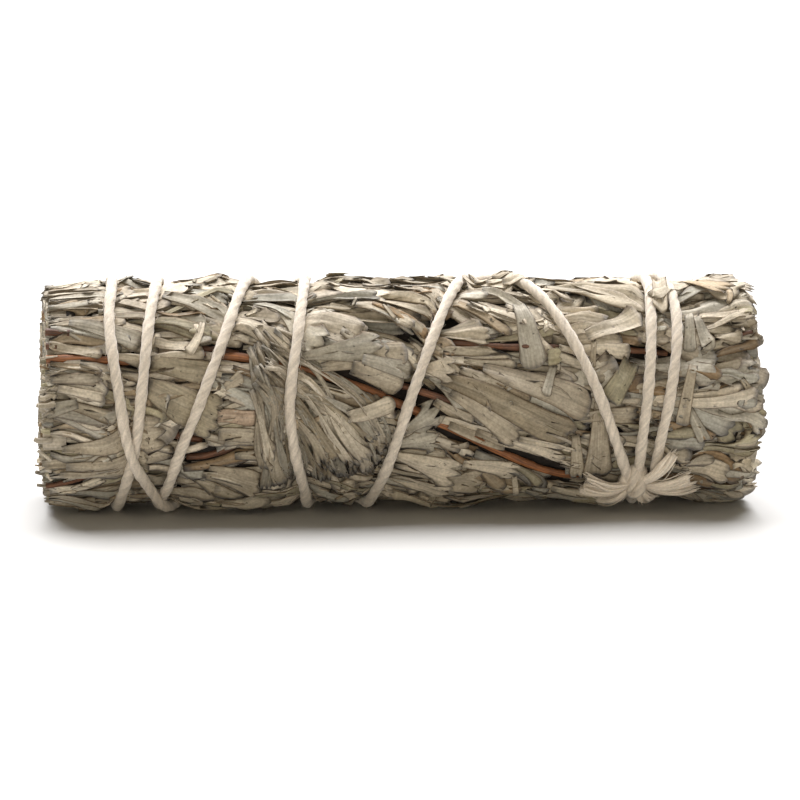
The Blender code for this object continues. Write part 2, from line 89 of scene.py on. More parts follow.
# The knot: its place, and the pixels of the photograph where its frayed tails end
KNOT_X, KNOT_ANGLE, KNOT_RADIUS = 0.0322, -44, 0.0166
KNOT_LOOPS = (  # each loop's place along X, its half length in degrees, its rise and its slant
    (-0.0008, 9, 0.0019, 0.0005),
    (0.0006, 8, 0.0021, -0.0004),
    (0, 7, 0.0028, 0.0009),
)
TAIL_STRANDS, TAIL_FIBRES = 7, 14
TAIL_START = 0.16  # a tail comes out of the knot this share of the way to its tip
TAIL_RADIUS, TAIL_ARCH, TAIL_LOWEST, TAIL_TIP_RADIUS = 0.0170, 0.0010, 0.0163, 0.0178
TAIL_TIPS = ((676, 456), (692, 480), (697, 490), (586, 480), (580, 492), (596, 503), (642, 504), (656, 500))

# The height map
X_CELL = 0.0003
MAP_HALF = 0.0540
MAP_X = np.arange(-MAP_HALF, MAP_HALF, X_CELL)
MAP_ANGLE = np.arange(360)
GROOVE_WIDTH = 0.0018
TOP_REACH = 0.0159  # from the axis up to the roll's top, which the photograph shows nearly level
PRESSED_IN = 0.0002  # the mean surface lies this far below part.py's, and single leaves stand out of it
PACKED_DEPTH = 0.0021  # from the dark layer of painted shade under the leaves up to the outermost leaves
LEAF_PROUD = 0.0006  # how far a leaf may stand out of the roll's mean surface
LUMP_SHARE = 0.17  # how far the swelling between the cords varies
END_ROUNDING = 0.0007  # how far the surface falls off at both ends

# The leaves
LEAF_THICKNESS = 0.00022
SHORTEST_LEAF = 0.0015
LEAF_SEAM, MAP_SEAM = 0.00004, 0.00006  # from what lies under a leaf up to it, and from it up to the next
MIDRIB_DENT = 0.00008
END_RAGGED, END_LIMIT = 0.0012, 0.0014  # how far the tip end varies, and how far past it a leaf may reach
CORD_CLEARING = 0.0016  # nearer than this to the cord, leaves lie flatter
OVER_TWIG = 0.0003  # how far a leaf may rise over a bare twig
OVER_CORD = SEAT_RADIUS + GAP + CORD_DIAMETER + 0.00015  # where a leaf that covers the cord lies on it
COVER_DROP, COVER_REACH = 0.0022, 0.003  # how far it hangs down beside the cord, and over what distance
COVER_RISE = 0.0008  # how far it may stand off the cord
LAYERS = 7
LEAVES_PER_LAYER = 260
STRAP_TRIES = 4500
STRAP_ROOM = 0.0013  # how deep a gap must be for a strap to be tucked in
BIT_COUNT = 200
END_CRUMBS = 60
FLOW_TURN = 0.32  # how far the leaves' direction strays in broad waves, in radians
LEAF_STRAY, STRAP_STRAY, BIT_STRAY = 0.16, 0.06, 0.9  # how far each one strays from that, in radians

# The twigs, through pixels of the photograph: sprig number, radius, pixels
TWIGS = (
    (0, 0.00062, ((36, 355), (102, 357), (170, 353), (235, 352), (300, 365), (378, 393), (436, 423))),
    (0, 0.00060, ((418, 416), (470, 441), (545, 477), (584, 487))),
    (0, 0.00050, ((400, 382), (423, 392), (464, 408))),
    (0, 0.00050, ((200, 343), (222, 345), (243, 350))),
    (1, 0.00052, ((441, 338), (515, 343), (594, 345), (673, 347))),
    (1, 0.00042, ((714, 338), (757, 327))),
    (1, 0.00055, ((36, 324), (72, 328))),
    (1, 0.00050, ((36, 341), (60, 343))),
    (7, 0.00055, ((160, 437), (204, 447))),
    (7, 0.00048, ((188, 466), (215, 459), (245, 452))),
    (7, 0.00050, ((181, 481), (202, 480))),
    (7, 0.00040, ((43, 495), (75, 487), (107, 476))),
)
TWIG_TOP = 0.0159  # the open twigs' highest level
TWIG_DEPTH = 0.0030  # how deep the covered ones lie
BUTT_TWIG_RADIUS = 0.0009
INNER_TWIG_CIRCLE = 0.0048
PAINTED_SHADE_STEP, PAINTED_SHADE_COLUMNS = 4, 17
PAINTED_SHADE_BOTTOM = 0.0060  # the inner radius of the dark layer of painted shade under the outer sprigs
PAINTED_SHADE_CORE = 0.0034

# The chopped ends
STRIPS_PER_END = 560
END_DEPTH = 0.0032
END_HOLLOW = 0.0016  # from the leaves' cut ends in to the dark layer of painted shade
END_RADIUS, INNER_END_RADIUS = 0.0151, 0.0088  # the whole cut face, and the inner sprigs' part of it
GOLDEN_ANGLE = 137.508  # spreads points evenly over a disc
STRIP_POINTS = 6
STUBS = (((46, 436), 0.0006), ((40, 384), 0.0004))  # pixel, half width

# The light: azimuth from the camera's side, elevation, strength, softness in degrees and colour
KEY_LIGHT = (180, 60, 9.2, 62, (1.0, 1.0, 1.03))
FILL_LIGHT = (-12, 2, 1.08, 22, (1.0, 0.915, 0.76))
SKY_COLOUR, SKY_STRENGTH = (1.0, 0.905, 0.74, 1), 0.29
FLOOR_COLOUR, FLOOR_HALF = (0.50, 0.495, 0.48, 1), 4

draw = np.random.default_rng(11)


def smooth_step(value):
    value = np.clip(value, 0.0, 1.0)
    return value * value * (3 - 2 * value)


def linear(red, green, blue):
    """A linear colour from 0 to 255 values."""
    shares = np.array((red, green, blue)) / 255
    return np.where(shares <= 0.04045, shares / 12.92, ((shares + 0.055) / 1.055) ** 2.4)


LEAF_TINTS = (  # colour, how common
    (linear(202, 190, 170), 5),
    (linear(190, 178, 157), 5),
    (linear(180, 168, 146), 4),
    (linear(188, 181, 165), 3),
    (linear(172, 154, 127), 2),
    (linear(212, 201, 180), 3),
    (linear(165, 156, 130), 2),
    (linear(148, 124, 94), 1),
    (linear(172, 168, 155), 3),
)
VEIN_TINT = linear(208, 198, 176)
# A dark brown for leaf rims and roots: partly the dry leaves' own brown, and at the rims partly painted shade
# in the gaps between leaves.
BROWN_AND_SHADE_TINT = linear(92, 74, 50)
# A near-black brown for the layer under the leaves: painted shade in the gaps between them.
PAINTED_SHADE_TINT = linear(28, 20, 13)
BARK_TINT = linear(98, 62, 38)
ORANGE_TINT = linear(128, 80, 44)
PITH_TINT = linear(208, 186, 140)
COTTON_TINT = linear(216, 204, 187)
PALE, GREY, BLUISH = linear(202, 190, 169), linear(176, 164, 143), linear(168, 161, 145)
BROWNISH, YELLOWISH, DARK = linear(162, 151, 128), linear(180, 171, 142), linear(146, 134, 112)


def between(angle, other):
    """How far an angle is from another one, from -180 to 180."""
    return (angle - other + 180) % 360 - 180


def plane_limit(slope, height):
    """The radius at which a level plane is met, or far out where it lies on the other side."""
    return np.where(slope > 0.1, height / np.maximum(slope, 0.1), 1.0)


def floor_limit(angle, clearance):
    """The radius at which the floor is met, less a clearance."""
    return plane_limit(np.cos(np.radians(np.abs(between(np.asarray(angle), -90)))), AXIS_HEIGHT - clearance)


def top_limit(angle):
    """The radius at which the pressed top of the roll is met."""
    return plane_limit(-np.cos(np.radians(np.abs(between(angle, -90)))), TOP_REACH)


def butt_swell(angle):
    """How far the butt end reaches out past the rest, most of all at its lower front."""
    return 0.0011 * np.exp(-((((angle + 202) % 360 - 180) / 36) ** 2))


def place(x, angle, radius):
    """Points at these distances from the roll's axis, as an array of (x, y, z)."""
    turn = np.radians(angle)
    parts = np.broadcast_arrays(x, -radius * np.cos(turn), AXIS_HEIGHT + radius * np.sin(turn))
    return np.stack(parts, axis=-1)


def degrees_of(distance):
    """The angle that a distance round the roll's surface takes."""
    return np.degrees(distance / SEAT_RADIUS)


# The cord's route


def cubic_through(knots, at):
    """A smooth curve through (angle, value) knots whose angles fall."""
    last = len(knots) - 2
    i = next((n for n in range(last) if at >= knots[n + 1][0]), last)
    slopes = []
    for n in (i, i + 1):
        before, after = knots[max(n - 1, 0)], knots[min(n + 1, len(knots) - 1)]
        slopes.append((after[1] - before[1]) / (after[0] - before[0]))
    (a0, v0), (a1, v1) = knots[i], knots[i + 1]
    t, span = (at - a0) / (a1 - a0), a1 - a0
    ends = (2 * t**3 - 3 * t**2 + 1) * v0 + (3 * t**2 - 2 * t**3) * v1
    return ends + span * ((t**3 - 2 * t**2 + t) * slopes[0] + (t**3 - t**2) * slopes[1])


def cord_route(step):
    """The cord's whole route from the knot round to the knot, as arrays of route angle and x."""
    knots = list(CORD_START)
    for number, places in enumerate(CORD_PASSES):
        turned = -360 * (number + 1)
        knots += [(angle + turned, x) for angle, x in zip(PASS_ANGLES, places)]
    angles = np.arange(CORD_START[0][0], CORD_END - step, -step, dtype=float)
    return angles, np.array([cubic_through(knots, angle) for angle in angles])


def cord_lifts(angles, places):
    """How far the cord is lifted where it passes over itself, and pressed in where it is passed over."""
    lifts = np.zeros(len(angles))
    for n in range(len(angles)):
        aside = np.radians(between(angles[n], angles)) * SEAT_RADIUS
        gaps = np.hypot(places[n] - places, aside)
        earlier, later = gaps[: max(n - 40, 0)], gaps[n + 40 :]
        if len(earlier):
            lifts[n] += CROSSING_LIFT * math.exp(-((earlier.min() / CORD_DIAMETER) ** 2))
        if len(later):
            lifts[n] -= CROSSING_PRESS * math.exp(-((later.min() / CORD_DIAMETER) ** 2))
    return lifts


# The height map


def mixed(grid, i, j, next_j, fi, fj):
    """A grid's values between its cells, at shares fi and fj of the way to the next row and column."""
    low = grid[i, j] * (1 - fj) + grid[i, next_j] * fj
    high = grid[i + 1, j] * (1 - fj) + grid[i + 1, next_j] * fj
    return low * (1 - fi) + high * fi


def smooth_field(x_size, angle_size):
    """Random values from -1 to 1 that vary over about these distances on the roll."""
    rows = int(2 * MAP_HALF / x_size) + 3
    columns = max(3, round(360 / float(degrees_of(angle_size))))
    coarse = draw.uniform(-1, 1, (rows, columns))
    i = np.arange(len(MAP_X)) * X_CELL / x_size
    j = MAP_ANGLE * columns / 360
    i0, j0 = i.astype(int)[:, None], j.astype(int)[None, :]
    fi, fj = smooth_step(i[:, None] - i0), smooth_step(j[None, :] - j0)
    return mixed(coarse, i0, j0, (j0 + 1) % columns, fi, fj)


def gap_map(angles, places, reach):
    """Each cell's distance over the surface to the nearest point of a route."""
    gaps = np.full((len(MAP_X), 360), reach)
    x_cells, angle_cells = int(reach / X_CELL), int(degrees_of(reach))
    for angle, x in zip(angles, places):
        i = round((x + MAP_HALF) / X_CELL)
        rows = np.arange(max(i - x_cells, 0), min(i + x_cells + 1, len(MAP_X)))
        columns = np.arange(round(angle) - angle_cells, round(angle) + angle_cells + 1)
        aside = np.radians(columns - angle) * SEAT_RADIUS
        near = np.hypot((MAP_X[rows] - x)[:, None], aside[None, :])
        window = np.ix_(rows, columns % 360)
        gaps[window] = np.minimum(gaps[window], near)
    return gaps


def read_map(grid, x, angle):
    """The map's value at any points."""
    i = np.clip((np.asarray(x) + MAP_HALF) / X_CELL, 0, len(MAP_X) - 1.001)
    j = np.asarray(angle) % 360
    i0, j0 = i.astype(int), j.astype(int) % 360
    return mixed(grid, i0, j0, (j0 + 1) % 360, i - i0, j - np.floor(j))


def outer_surface(gaps):
    """The roll's mean surface: the leaves swell out between the cords, and lie flat on the floor."""
    seat = np.minimum(SEAT_RADIUS, floor_limit(MAP_ANGLE, CORD_DIAMETER + GAP))[None, :]
    swelling = BULGE * (1 - np.exp(-((gaps / GROOVE_WIDTH) ** 2)))
    lumps = 1 + LUMP_SHARE * smooth_field(0.007, 0.005)
    taper = -END_TAPER * MAP_X[:, None] / HALF_LENGTH
    round_end = END_ROUNDING * smooth_step((np.abs(MAP_X) - HALF_LENGTH + 0.0025) / 0.003)[:, None]
    surface = seat - GROOVE_DEPTH + lumps * (swelling + GROOVE_DEPTH) + taper - round_end - PRESSED_IN
    top = top_limit(MAP_ANGLE)[None, :] + 0.0003 * smooth_field(0.003, 0.003)
    return np.minimum(np.minimum(surface, top), floor_limit(MAP_ANGLE, FLOOR_CLEARANCE)[None, :])


# Pieces


class Pile:
    """The points and faces of many small shapes that make one piece."""

    def __init__(self):
        self.points, self.faces, self.tints, self.grains = [], [], [], []
        self.count = 0

    def add(self, points, face_sets, tints, grains):
        """face_sets are arrays of corner numbers, one array for each number of corners."""
        points = points.reshape(-1, 3)
        self.points.append(points)
        self.faces += [faces + self.count for faces in face_sets]
        for kept, values in ((self.tints, tints), (self.grains, grains)):
            kept.append(np.broadcast_to(np.reshape(values, (-1, 3)), points.shape))
        self.count += len(points)


def add_object(name, data):
    made = bpy.data.objects.new(name, data)
    bpy.context.scene.collection.objects.link(made)
    return made


def make_piece(name, pile, look, slot, *nodes):
    """Turns a pile into one object that rides on the root body."""
    mesh = bpy.data.meshes.new(name)
    points = np.concatenate(pile.points)
    corners = np.concatenate([faces.ravel() for faces in pile.faces])
    sizes = np.concatenate([np.full(len(faces), faces.shape[1]) for faces in pile.faces])
    mesh.vertices.add(len(points))
    mesh.vertices.foreach_set("co", points.ravel().astype(np.float32))
    mesh.loops.add(len(corners))
    mesh.loops.foreach_set("vertex_index", corners.astype(np.int32))
    mesh.polygons.add(len(sizes))
    mesh.polygons.foreach_set("loop_start", np.concatenate(([0], np.cumsum(sizes)[:-1])).astype(np.int32))
    mesh.polygons.foreach_set("use_smooth", np.ones(len(sizes), dtype=bool))
    tints = mesh.color_attributes.new("tint", "FLOAT_COLOR", "POINT")
    colours = np.hstack((np.concatenate(pile.tints), np.ones((len(points), 1))))
    tints.data.foreach_set("color", colours.ravel().astype(np.float32))
    grains = mesh.attributes.new("grain", "FLOAT_VECTOR", "POINT")
    grains.data.foreach_set("vector", np.concatenate(pile.grains).ravel().astype(np.float32))
    mesh.update()
    mesh.validate()
    mesh.materials.append(look)
    piece = add_object(name, mesh)
    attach(piece, "root")
    if nodes:
        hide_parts(*nodes)


def grid_faces(rows, columns):
    """The faces of a sheet with an upper and a lower skin that share their rim."""
    upper = np.arange(rows * columns).reshape(rows, columns)
    lower = upper.copy()
    lower[1:-1, 1:-1] = rows * columns + np.arange((rows - 2) * (columns - 2)).reshape(rows - 2, columns - 2)
    top = np.stack((upper[:-1, :-1], upper[1:, :-1], upper[1:, 1:], upper[:-1, 1:]), axis=-1).reshape(-1, 4)
    under = np.stack((lower[:-1, :-1], lower[:-1, 1:], lower[1:, 1:], lower[1:, :-1]), axis=-1).reshape(-1, 4)
    return [np.concatenate((top, under))]


def tube_faces(rings, sides):
    """The faces of a bar through rings of points, and its two end caps."""
    first = np.arange((rings - 1) * sides).reshape(rings - 1, sides)
    following = np.roll(first, -1, axis=1)
    walls = np.stack((first, following, following + sides, first + sides), axis=-1).reshape(-1, 4)
    start = np.arange(sides)[::-1][None, :]
    end = (np.arange(sides) + (rings - 1) * sides)[None, :]
    return [walls, start, end]


def path_frames(path):
    """Two directions across a path at each of its points, kept from twisting."""
    ahead = np.gradient(path, axis=0)
    ahead /= np.linalg.norm(ahead, axis=1)[:, None]
    across = np.empty_like(path)
    start = np.cross(ahead[0], (0.31, 0.52, 0.79))
    across[0] = start / np.linalg.norm(start)
    for n in range(1, len(path)):
        side = across[n - 1] - ahead[n] * np.dot(across[n - 1], ahead[n])
        across[n] = side / np.linalg.norm(side)
    return across, np.cross(ahead, across)


def path_lengths(path):
    steps = np.linalg.norm(np.diff(path, axis=0), axis=1)
    return np.concatenate(([0.0], np.cumsum(steps)))


def round_path(path, turns, radii):
    """Rings of points round a path. radii has a row for each point of the path and a column for each turn."""
    across, other = path_frames(path)
    turns = turns[None, :, None]
    ring = across[:, None, :] * np.cos(turns) + other[:, None, :] * np.sin(turns)
    return path[:, None, :] + ring * radii[:, :, None]


def add_bar(pile, path, radii, sides, tint):
    """A round bar along a path. radii is an array over the path."""
    turns = np.linspace(0, 2 * np.pi, sides, endpoint=False)
    points = round_path(path, turns, np.broadcast_to(radii[:, None], (len(path), sides)))
    along, around = np.broadcast_arrays(path_lengths(path)[:, None], turns[None, :] * 0.001)
    grains = np.stack((along, around, along * 0 + draw.random()), axis=-1)
    pile.add(points, tube_faces(len(path), sides), tint, grains)


# The camera, and the place on the roll that a pixel of the photograph shows


def camera_axes():
    """The camera's directions: back from the roll, and to the right and up in its picture."""
    azimuth, elevation, roll = (math.radians(v) for v in (CAMERA_AZIMUTH, CAMERA_ELEVATION, CAMERA_ROLL))
    level = math.cos(elevation)
    back = np.array((math.sin(azimuth) * level, -math.cos(azimuth) * level, math.sin(elevation)))
    right = np.array((math.cos(azimuth), math.sin(azimuth), 0.0))
    up = np.cross(back, right)
    return back, right * math.cos(roll) + up * math.sin(roll), up * math.cos(roll) - right * math.sin(roll)


def make_camera():
    back, right, up = camera_axes()
    data = bpy.data.cameras.new("camera")
    data.sensor_width = SENSOR_WIDTH
    data.lens = SENSOR_WIDTH * CAMERA_DISTANCE / (PHOTO_SIZE * METRES_PER_PIXEL)
    camera = add_object("camera", data)
    camera.location = Vector(back) * CAMERA_DISTANCE + Vector((0, 0, AIM_HEIGHT))
    camera.rotation_mode = "QUATERNION"
    camera.rotation_quaternion = Matrix(np.stack((right, up, back), axis=1).tolist()).to_quaternion()
    bpy.context.scene.camera = camera


def on_roll(pixel, radius=SEEN_RADIUS):
    """The x and angle on the roll's surface that a pixel of the photograph shows."""
    back, right, up = camera_axes()
    from_middle = (np.array(pixel) - PHOTO_SIZE / 2) * METRES_PER_PIXEL
    towards = -back * CAMERA_DISTANCE + right * from_middle[0] - up * from_middle[1]
    start = back * CAMERA_DISTANCE + np.array((0, 0, AIM_HEIGHT - AXIS_HEIGHT))
    a = towards[1] ** 2 + towards[2] ** 2
    b = 2 * (start[1] * towards[1] + start[2] * towards[2])
    c = start[1] ** 2 + start[2] ** 2 - radius**2
    reach = (-b - math.sqrt(max(b * b - 4 * a * c, 0.0))) / (2 * a)
    point = start + towards * reach
    return point[0], math.degrees(math.atan2(point[2], -point[1]))


# The sprigs


def sprig_middle(number, x):
    """The angle of an outer sprig's middle line at x."""
    turns, number = divmod(number, len(OUTER_SPRIGS))
    butt, tip = OUTER_SPRIGS[number]
    return butt + (tip - butt) * smooth_step((x - TURN_START) / (TURN_END - TURN_START)) + 360 * turns


def sprig_at(x, angle):
    """The number of the outer sprig that holds a point."""
    aside = [abs(between(angle, sprig_middle(n, x))) for n in range(len(OUTER_SPRIGS))]
    return int(np.argmin(aside))


def heading_map():
    """The way the leaves lie at each cell, in radians from +X towards larger angles: along the sprigs."""
    x, angle = MAP_X[:, None], MAP_ANGLE[None, :]
    numbers = range(len(OUTER_SPRIGS))
    owner = np.argmin([np.abs(between(angle, sprig_middle(n, x))) for n in numbers], axis=0)
    step = 0.001
    turned = np.array([sprig_middle(n, MAP_X + step) - sprig_middle(n, MAP_X - step) for n in numbers])
    slopes = np.take_along_axis(turned.T, owner, axis=1)
    return np.arctan2(np.radians(slopes) * SEAT_RADIUS, 2 * step)


# Leaves


LEAF_DETAILS = dict(
    base=0.22,  # its width at the root, as a share
    flare=1.1,  # more than 1 keeps it narrow until near its tip
    notch=0.0018,  # the depth of the cuts between its teeth
    teeth=3,
    blunt=0.30,  # how far its corners are rounded back, as a share of its width
    bend=0.0,  # how far it curves sideways, in radians
    sway=0.0,  # how far it swings to one side and back, as a share of its length
    cup=0.0,  # how far its edges stand up
    fold=0.0,  # how far it is creased along its middle
    lift=0.0,  # how far its tip stands up
    twist=0.0,  # how far one edge stands up and the other down
    ripple=0.00007,
    rows=10,
    columns=13,
    tint=GREY,
    proud=LEAF_PROUD,
    over_cord=False,
)


class Leaf:
    """The shape of one leaf, before it is laid on the roll."""

    def __init__(self, length, width, **details):
        self.length, self.width = length, width
        vars(self).update(LEAF_DETAILS, **details)

    def outline(self):
        """Each grid point's distance along and across the leaf."""
        t = np.linspace(0, 1, self.rows)[:, None] ** 0.85
        u = np.linspace(-1, 1, self.columns)[None, :]
        half = self.width / 2 * (self.base + (1 - self.base) * t**self.flare)
        turn = np.pi * self.teeth / 2 * u
        cuts = np.abs(np.cos(turn) if self.teeth % 2 == 0 else np.sin(turn)) ** 3
        shoulder = 1 - np.sqrt(np.clip(1 - u * u, 0, 1))
        back = t**5 * (self.notch * cuts * (self.teeth > 1) + self.blunt * self.width * shoulder)
        swing = self.sway * self.length * np.sin(2 * np.pi * t)
        return self.length * t - back, half * u + swing, t, u


def upsampled(values, times):
    """A grid read this many times more finely in both directions."""
    rows, columns = values.shape
    fine_rows = np.linspace(0, rows - 1, (rows - 1) * times + 1)
    fine_columns = np.linspace(0, columns - 1, (columns - 1) * times + 1)
    i0 = np.minimum(fine_rows.astype(int), rows - 2)
    j0 = np.minimum(fine_columns.astype(int), columns - 2)
    fi, fj = (fine_rows - i0)[:, None], (fine_columns - j0)[None, :]
    return mixed(values, i0[:, None], j0[None, :], j0[None, :] + 1, fi, fj)


def softened(values):
    """Each point moved to the mean of its neighbours."""
    padded = np.pad(values, 1, mode="edge")
    return (padded[:-2, 1:-1] + padded[2:, 1:-1] + padded[1:-1, :-2] + padded[1:-1, 2:]) / 4


class Roll:
    """The height map, and the leaves laid on it so far."""

    def __init__(self):
        angles, places = cord_route(1.0)
        self.cord_gap = gap_map(angles, places, 0.007)
        self.surface = outer_surface(self.cord_gap)
        self.height = self.surface - PACKED_DEPTH + 0.0003 * smooth_field(0.002, 0.002)
        self.painted_shade = self.height.copy()
        self.heading = heading_map() + FLOW_TURN * smooth_field(0.012, 0.010)
        self.kept_bare = np.zeros_like(self.surface)
        self.twig_top = np.zeros_like(self.surface)
        self.piles = [Pile() for _ in OUTER_SPRIGS]

    def lay(self, leaf, root_x, root_angle, heading, most_cover=1.0):
        """Drapes a leaf on what is there. Leaves it out where too much of it would cover a bare twig."""
        ahead = math.cos(heading + leaf.bend / 2)
        if ahead > 0.3:
            room = (RIGHT_END + draw.uniform(-END_RAGGED, END_RAGGED) - root_x) / ahead
            leaf.length = min(leaf.length, max(room, SHORTEST_LEAF))
        along, across, t, u = leaf.outline()
        middle, facing = heading + leaf.bend * t / 2, heading + leaf.bend * t
        x = root_x + np.cos(middle) * along - np.sin(facing) * across
        angle = root_angle + degrees_of(np.sin(middle) * along + np.cos(facing) * across)
        butt = -HALF_LENGTH - draw.uniform(-0.0003, 0.0006) - butt_swell(angle)
        x = np.clip(x, butt, RIGHT_END + END_LIMIT)
        if read_map(self.kept_bare, x, angle).mean() > most_cover:
            return
        support = read_map(self.height, x, angle)
        radius = support.copy()
        for _ in range(5):
            radius = np.maximum(support, softened(radius))
        wave = np.sin(along * draw.uniform(400, 900) + draw.uniform(0, 6)) * leaf.ripple
        wave = wave + np.sin(u * draw.uniform(2, 5) + along * 300 + draw.uniform(0, 6)) * leaf.ripple
        radius = radius + LEAF_SEAM + leaf.lift * t**2.5 + leaf.cup * u * u * t + leaf.twist * u * t + wave
        radius += leaf.fold * np.abs(u) - MIDRIB_DENT * np.exp(-((u / 0.16) ** 2)) * (1 - t)
        ceiling = read_map(self.surface, x, angle)
        from_cord = read_map(self.cord_gap, x, angle)
        if leaf.over_cord:
            radius = np.maximum(radius, OVER_CORD - COVER_DROP * smooth_step(from_cord / COVER_REACH))
            ceiling = ceiling * 0 + OVER_CORD + COVER_RISE
        ceiling = ceiling + leaf.proud * (1 - np.exp(-((from_cord / CORD_CLEARING) ** 2)))
        ceiling = np.maximum(ceiling, read_map(self.twig_top, x, angle) + OVER_TWIG)
        radius = np.minimum(np.minimum(radius, ceiling), floor_limit(angle, 0.00015))
        radius = np.maximum(radius, read_map(self.painted_shade, x, angle) - 0.0002)
        self.add_sheet(leaf, x, angle, radius, along, across, t, u)
        self.raise_map(x, angle, radius)

    def lay_seen(self, root, tip, width, **details):
        """Lays a leaf seen in the photograph, from its root's pixel to its tip's."""
        (x, angle), (tip_x, tip_angle) = on_roll(root), on_roll(tip)
        step_x, step_round = tip_x - x, math.radians(tip_angle - angle) * SEAT_RADIUS
        leaf = Leaf(math.hypot(step_x, step_round), width, **details)
        self.lay(leaf, x, angle, math.atan2(step_round, step_x) - leaf.bend / 2)

    def raise_map(self, x, angle, radius):
        """Marks the room that a leaf has taken."""
        fine_x, fine_angle, fine_radius = (upsampled(values, 4) for values in (x, angle, radius))
        i = np.clip(np.round((fine_x + MAP_HALF) / X_CELL).astype(int), 0, len(MAP_X) - 1)
        j = np.round(fine_angle).astype(int) % 360
        np.maximum.at(self.height, (i, j), fine_radius + MAP_SEAM)

    def add_sheet(self, leaf, x, angle, radius, along, across, t, u):
        upper = place(x, angle, radius)
        inner = slice(1, -1)
        lower = place(x[inner, inner], angle[inner, inner], radius[inner, inner] - LEAF_THICKNESS)
        points = np.concatenate((upper.reshape(-1, 3), lower.reshape(-1, 3)))
        tints = leaf_tints(leaf, t, u)
        grains = np.stack(np.broadcast_arrays(along, across, draw.random()), axis=-1)
        number = sprig_at(float(x[0].mean()), float(angle[0].mean()))
        # The lower skin is a tenth darker than the upper one: painted shade on the leaf's underside.
        self.piles[number].add(
            points,
            grid_faces(leaf.rows, leaf.columns),
            np.concatenate((tints.reshape(-1, 3), tints[inner, inner].reshape(-1, 3) * 0.9)),
            np.concatenate((grains.reshape(-1, 3), grains[inner, inner].reshape(-1, 3))),
        )


def leaf_tints(leaf, t, u):
    """A leaf's colour at each grid point: paler along its midrib, browner at its root, and browner at its
    rim, partly its own dry edge and partly painted shade between leaves.
    """
    rim = np.clip(np.abs(u) ** 13 * 0.85 + t**18 * 0.5, 0, 1)[..., None]
    rib = (np.exp(-((u / 0.14) ** 2)) * 0.28 * (1 - 0.5 * t))[..., None]
    root = ((1 - t) ** 3 * 0.30)[..., None]
    tints = leaf.tint
    for share, tint in ((rib, VEIN_TINT), (rim, BROWN_AND_SHADE_TINT), (root, BROWN_AND_SHADE_TINT * 0.8)):
        tints = tints * (1 - share) + tint * share
    return tints


def random_tint():
    shares = np.array([share for _, share in LEAF_TINTS], dtype=float)
    pick = draw.choice(len(LEAF_TINTS), p=shares / shares.sum())
    return LEAF_TINTS[pick][0] * draw.uniform(0.85, 1.20)


def random_leaf(x, layer):
    """A leaf as they come: narrow straps, and wedges or stalks with toothed tips."""
    fine = layer >= LAYERS - 3
    details = dict(
        # Leaves of the lower layers are darker: painted shade in the deep gaps between leaves.
        tint=random_tint() * (0.66 + 0.34 * layer / (LAYERS - 1)),
        bend=draw.normal(0, 0.34),
        sway=draw.normal(0, 0.03),
        cup=draw.normal(0.00004, 0.00030),
        twist=draw.normal(0, 0.00025),
        fold=draw.normal(0, 0.00012),
        lift=max(draw.normal(0.0002, 0.0003), 0),
        rows=10 if fine else 7,
        columns=13 if fine else 7,
        proud=LEAF_PROUD * draw.uniform(0.0, 1.0) ** 1.5,
    )
    kind = draw.random()
    if kind < (0.34 if x < -0.012 else 0.26):
        details.update(teeth=1, base=0.6, blunt=draw.uniform(0.5, 1.0), columns=7 if fine else 5)
        lengths, widths = (0.008, 0.018), (0.0009, 0.0021)
    elif kind < 0.52:
        details.update(base=0.3, flare=draw.uniform(2.2, 4.0), notch=draw.uniform(0.0004, 0.0014))
        details.update(teeth=3 if fine else 1)
        lengths, widths = (0.011, 0.020), (0.0024, 0.0042)
    elif kind < 0.66:
        details.update(teeth=1, base=0.35, blunt=draw.uniform(0.45, 0.9), columns=9 if fine else 5)
        lengths, widths = (0.009, 0.018), (0.0022, 0.0036)
    else:
        details.update(base=0.2, flare=draw.uniform(0.9, 1.5), notch=draw.uniform(0.0005, 0.0018))
        details.update(teeth=draw.choice((2, 3, 3)) if fine else 1)
        lengths, widths = (0.009, 0.018), (0.0032, 0.0066)
    return Leaf(draw.uniform(*lengths), draw.uniform(*widths), **details)


def lay_leaves(roll):
    """Lays the leaves layer by layer, from the tip end back, so that each covers the next one's root."""
    for layer in range(LAYERS):
        places = draw.uniform(-HALF_LENGTH - 0.006, HALF_LENGTH - 0.003, LEAVES_PER_LAYER)
        places = places[np.argsort(-(places + draw.normal(0, 0.006, LEAVES_PER_LAYER)))]
        for x in places:
            angle = draw.uniform(0, 360)
            leaf = random_leaf(x, layer)
            room = read_map(roll.surface - roll.height, x + leaf.length / 2, angle)
            if room < 0.00005 and layer > 2:
                continue
            start = max(x, -HALF_LENGTH - 0.0004 - butt_swell(angle))
            leaf.length = max(leaf.length - (start - x), 0.004)
            heading = read_map(roll.heading, start, angle) + draw.normal(0, LEAF_STRAY)
            roll.lay(leaf, start, angle, heading, most_cover=0.04)


def tuck_straps(roll):
    """Narrow straps wherever the dark layer of painted shade still shows, beside the twigs too."""
    for _ in range(STRAP_TRIES):
        x, angle = draw.uniform(-HALF_LENGTH, RIGHT_END - 0.0015), draw.uniform(0, 360)
        room = read_map(roll.surface, x, angle) - read_map(roll.height, x, angle)
        if room < STRAP_ROOM:
            continue
        leaf = Leaf(
            draw.uniform(0.006, 0.013), draw.uniform(0.0012, 0.0027), teeth=1, base=0.5, rows=8, columns=5,
            blunt=draw.uniform(0.5, 1.0), bend=draw.normal(0, 0.3), sway=draw.normal(0, 0.03),
            cup=draw.normal(0.0001, 0.0001), tint=random_tint() * draw.uniform(0.75, 1.0), proud=0.0,
        )
        root = max(x - leaf.length / 2, -HALF_LENGTH)
        heading = read_map(roll.heading, x, angle) + draw.normal(0, STRAP_STRAY)
        roll.lay(leaf, root, angle, heading, most_cover=0.14)


